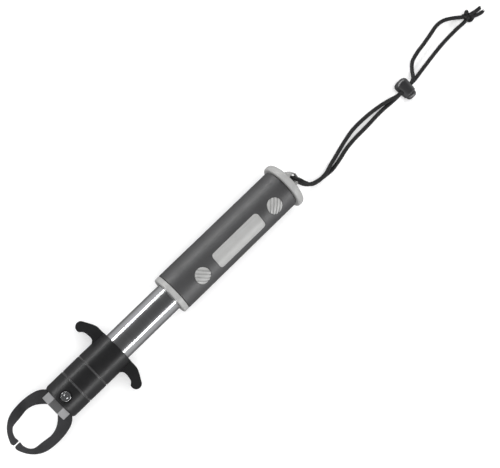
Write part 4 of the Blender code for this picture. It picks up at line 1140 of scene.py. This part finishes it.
@dataclass
class Lanyard:
    """Folded cord through the lug, its sprung lock and the knot that ends it."""

    shop: Workshop
    radius: float = 1.5 * MM
    lock_cords: float = -1.3 * MM  # cords' plane from the lock's middle
    lock_mouth: float = 5.1 * MM
    lock_travel: float = 1.5 * MM
    spring_bore: float = 3.55 * MM
    passage_half_width: float = 1.8 * MM
    passage_half_height: float = 3.45 * MM
    passage_corner: float = 1.2 * MM
    knot_cord: float = 1.45 * MM
    knot_size: tuple[float, float, float] = (0.92 * MM, 1.34 * MM, 2.25 * MM)
    knot_core: tuple[float, float, float] = (2.3 * MM, 3.4 * MM, 2.2 * MM)
    knot_steps: int = 96
    knot_turn: float = math.radians(12.0)
    yarn: float = 0.22 * MM
    yarns: int = 9
    body: str = "handle"
    button_body: str = "lock_button"

    def build(self) -> None:
        strands = [self.strand("lanyard_strand_a", STRAND_A), self.strand("lanyard_strand_b", STRAND_B)]
        lock, button = self.lock()
        knot = self.knot()
        self.shop.dress(Finishes.PLAIN_STEEL, "cord_lock_spring")

    def strand(self, node: str, route: Sequence[Sequence[float]]) -> tuple[bpy.types.Object, list[Vector]]:
        """Make one strand.

        Args:
            node: CAD node that it stands for.
            route: Points of its route, in millimetres.

        Returns:
            The piece and its path in metres.
        """
        path = flowing([Vector(p) * MM for p in (*route, KNOT_MIDDLE)], 4)
        piece = new_object(f"{node}_braid", BraidedTube(path, self.radius).sweep())
        self.shop.finish(piece, self.body, Finishes.CORD, node)
        return piece, path

    def lock(self) -> tuple[bpy.types.Object, bpy.types.Object]:
        """Make the barrel and the plunger of the cord lock.

        Returns:
            The barrel and the plunger.
        """
        barrel = Span.of("cord_lock_body")
        plunger = Span.of("cord_lock_button")
        centre = barrel.centre
        radius = barrel.size.x / 2.0
        half = barrel.size.y / 2.0
        button_radius = plunger.size.x / 2.0
        gap = 0.3 * MM
        body = new_object("cord_lock_barrel", spun([
            (-half, self.lock_mouth, 0.5 * MM),
            (0.5 * MM, radius, 3.0 * MM),
            (half, radius, 4.2 * MM),
        ], 64, Facing.Y, solid=True))
        passage = rounded_rectangle(2.0 * self.passage_half_height, 2.0 * self.passage_half_width,
                                    self.passage_corner)
        reach = 2.0 * radius
        over = 2.0 * MM
        along_x = Matrix.Translation((0.0, self.lock_cords, 0.0)) @ Matrix.Rotation(math.pi / 2.0, 4, "Y")
        step = plunger.high.y - centre.y + self.lock_travel + gap
        bore = spun([
            (-half - over, button_radius + gap, 0.0),
            (step, button_radius + gap, 0.0),
            (step, self.spring_bore, 0.0),
            (half - 1.2 * MM, self.spring_bore, 0.0),
        ], 64, Facing.Y, solid=True)
        carve(body, "DIFFERENCE", bore, placed(plate(passage, -reach, reach), along_x))
        body.data.transform(Matrix.Translation(centre))
        self.shop.finish(body, self.body, Finishes.LOCK_PLASTIC, "cord_lock_body", weighted=True)

        outer = plunger.low.y - centre.y
        inner = plunger.high.y - centre.y
        button = new_object("cord_lock_plunger", spun([
            (outer + 0.35 * MM, 0.9 * MM, 0.3 * MM),
            (outer, 1.5 * MM, 0.3 * MM),
            (outer, button_radius, 2.9 * MM),
            (inner, button_radius, 0.2 * MM),
        ], 64, Facing.Y, solid=True))
        travel = self.lock_travel
        longer = rounded_rectangle(2.0 * self.passage_half_height, 2.0 * self.passage_half_width + travel,
                                   self.passage_corner)
        back = Matrix.Translation((0.0, -travel / 2.0, 0.0))
        carve(button, "DIFFERENCE", placed(plate(longer, -reach, reach), back @ along_x))
        button.data.transform(Matrix.Translation(centre))
        self.shop.finish(button, self.button_body, Finishes.LOCK_PLASTIC, "cord_lock_button", weighted=True)
        return body, button

    def knot(self) -> bpy.types.Object:
        """Overhand knot tied in both strands, with two cut and frayed tails.

        Returns:
            The knot.
        """
        centre = Vector(KNOT_MIDDLE) * MM
        length, width, height = self.knot_size
        loop = []
        for i in range(self.knot_steps + 1):
            t = math.tau * i / self.knot_steps
            loop.append(Vector((
                length * (math.sin(t) + 2.0 * math.sin(2.0 * t)),
                width * (math.cos(t) - 2.0 * math.cos(2.0 * t)),
                -height * math.sin(3.0 * t),
            )))
        turn = Matrix.Rotation(self.knot_turn, 3, "Z")
        loop = [turn @ p + centre for p in loop]
        knot = new_object("overhand_knot", BraidedTube(loop, self.knot_cord, sides=16).sweep())
        parts = [BraidedTube(flowing([Vector(p) * MM for p in tail], 6), self.knot_cord, sides=16).sweep()
                 for tail in KNOT_TAILS]
        parts += self.fibres()
        core = bmesh.new()
        bmesh.ops.create_uvsphere(core, u_segments=24, v_segments=16, radius=1.0)
        bmesh.ops.scale(core, verts=core.verts, vec=Vector(self.knot_core))
        parts.append(shifted(core, *centre))
        whole = bmesh.new()
        whole.from_mesh(knot.data)
        for part in parts:
            mesh = bpy.data.meshes.new("part")
            part.to_mesh(mesh)
            part.free()
            whole.from_mesh(mesh)
            bpy.data.meshes.remove(mesh)
        whole.to_mesh(knot.data)
        whole.free()
        return self.shop.finish(knot, self.body, Finishes.CORD, "lanyard_knot")

    def fibres(self) -> list[bmesh.types.BMesh]:
        """Loose yarns that spread from the cut ends of the tails.

        Returns:
            One thin tube for each yarn.
        """
        chance = random.Random(11)
        yarns = []
        for tail in KNOT_TAILS:
            end = Vector(tail[-1]) * MM
            heading = (end - Vector(tail[-2]) * MM).normalized()
            heading.z *= 0.3
            for _ in range(self.yarns):
                spread = Vector((chance.uniform(-0.2, 0.2), chance.uniform(-1.0, 1.0), chance.uniform(-0.6, 0.9)))
                start = end + spread * 0.7 * MM - heading * 0.8 * MM
                tip = end + heading * chance.uniform(0.9, 1.9) * MM + spread * 0.95 * MM
                tip.z = max(tip.z, 0.35 * MM)
                start.z = max(start.z, 0.45 * MM)
                bend = (start + tip) / 2.0 + spread * 0.25 * MM
                bend.z = max(bend.z, 0.4 * MM)
                yarns.append(BraidedTube(flowing([start, bend, tip], 3), self.yarn, sides=6, relief=0.0,
                                         step=0.5 * MM).sweep())
        return yarns


# ---------------------------------------------------------------- studio


@dataclass
class Studio:
    """Pale table, soft side lights and the camera above the tool."""

    target: tuple[float, float, float] = (0.0, 0.0, 0.018)
    strip_tilt: float = 63.0  # from straight up, in degrees
    strip_distance: float = 1.0
    strip_size: tuple[float, float] = (2.4, 0.16)
    strip_power: float = 11.0
    top_size: float = 1.6
    top_place: tuple[float, float, float] = (0.1, 0.0, 1.6)
    top_power: float = 19.0
    camera_place: tuple[float, float, float] = (-0.0597, 0.0004, 0.698)
    sensor: float = 36.0
    lens: float = 70.596

    def build(self) -> None:
        """Set up the floor, the world, the lights and the camera."""
        self.floor()
        self.world()
        for side in (1.0, -1.0):
            self.strip(side * self.strip_tilt)
        self.top_light()
        self.camera()
        view = bpy.context.scene.view_settings
        view.view_transform = "Standard"
        view.look = "None"

    def floor(self) -> None:
        """Wide white table top at z = 0."""
        bm = bmesh.new()
        bmesh.ops.create_grid(bm, x_segments=1, y_segments=1, size=6.0)
        floor = new_object("table_top", bm)
        made = bpy.data.materials.new("white table")
        made.use_nodes = True
        values = {"Base Color": (0.92, 0.92, 0.92, 1.0), "Emission Color": (1.0, 1.0, 1.0, 1.0),
                  "Emission Strength": 0.14, "Roughness": 0.9, "Specular IOR Level": 0.1}
        for socket, value in values.items():
            made.node_tree.nodes["Principled BSDF"].inputs[socket].default_value = value
        floor.data.materials.append(made)
        floor.visible_glossy = False

    def world(self) -> None:
        """Pale surroundings that get darker straight overhead."""
        world = bpy.data.worlds.new("studio")
        bpy.context.scene.world = world
        world.use_nodes = True
        world.node_tree.nodes.clear()
        tree = Tree(world.node_tree)
        direction = tree.add("ShaderNodeTexCoord").outputs["Generated"]
        height = tree.add("ShaderNodeSeparateXYZ", {"Vector": direction}).outputs["Z"]
        share = tree.maths("MULTIPLY_ADD", height, 0.5, 0.5)
        ramp = tree.add("ShaderNodeValToRGB", {"Fac": share})
        stops = ((0.0, 0.16), (0.18, 0.22), (0.29, 0.42), (0.50, 0.52), (0.60, 0.50), (0.78, 0.28), (0.865, 0.13),
                 (1.0, 0.10))
        while len(ramp.color_ramp.elements) < len(stops):
            ramp.color_ramp.elements.new(0.5)
        for element, (place, level) in zip(ramp.color_ramp.elements, stops):
            element.position = place
            element.color = (level, level, level * 1.01, 1.0)
        back = tree.add("ShaderNodeBackground", {"Color": ramp.outputs["Color"], "Strength": 1.0})
        tree.add("ShaderNodeOutputWorld", {"Surface": back.outputs["Background"]})

    def area_light(self, name: str, shape: str, size: float, power: float) -> bpy.types.Object:
        """Add an area light.

        Args:
            name: The light's name.
            shape: RECTANGLE or DISK.
            size: Its size along X.
            power: Its power in watts.

        Returns:
            The light.
        """
        data = bpy.data.lights.new(name, "AREA")
        data.shape = shape
        data.size = size
        data.energy = power
        light = bpy.data.objects.new(name, data)
        bpy.context.scene.collection.objects.link(light)
        return light

    def strip(self, tilt: float) -> None:
        """A long soft box beside the tool and parallel to it.

        Args:
            tilt: Its angle from straight up, positive towards +Y, in degrees.
        """
        length, width = self.strip_size
        light = self.area_light("strip", "RECTANGLE", length, self.strip_power)
        light.data.size_y = width
        angle = math.radians(tilt)
        away = Vector((0.0, math.sin(angle), math.cos(angle)))
        x = Vector((1.0, 0.0, 0.0))
        turn = Matrix((x, away.cross(x).normalized(), away)).transposed().to_4x4()
        light.matrix_world = Matrix.Translation(Vector(self.target) + away * self.strip_distance) @ turn

    def top_light(self) -> None:
        """Broad overhead light for the matt surfaces, which no gloss mirrors."""
        light = self.area_light("top light", "DISK", self.top_size, self.top_power)
        light.location = self.top_place
        light.visible_glossy = False

    def camera(self) -> None:
        """Camera above the tool's middle, with the jaws at the lower left."""
        right = Vector((0.70218531, -0.69533072, 0.15313714))
        down = Vector((-0.68284538, -0.71858855, -0.1317296))
        forward = Vector((0.20163823, -0.0120704, -0.97938569))
        data = bpy.data.cameras.new("camera")
        data.sensor_width = self.sensor
        data.sensor_fit = "HORIZONTAL"
        data.lens = self.lens
        data.clip_start = 0.01
        data.clip_end = 50.0
        camera = bpy.data.objects.new("camera", data)
        bpy.context.scene.collection.objects.link(camera)
        turn = Matrix((right, -down, -forward)).transposed().to_4x4()
        camera.matrix_world = Matrix.Translation(self.camera_place) @ turn
        bpy.context.scene.camera = camera


def main() -> None:
    """Build every sub-assembly, then the studio."""
    logging.basicConfig(level=logging.INFO, format="%(message)s")
    shop = Workshop()
    for assembly in (Handle(shop), Barrel(shop), Trigger(shop), Jaws(shop), Lanyard(shop), Studio()):
        log.info("building %s", type(assembly).__name__)
        assembly.build()


if __name__ == "__main__":
    main()
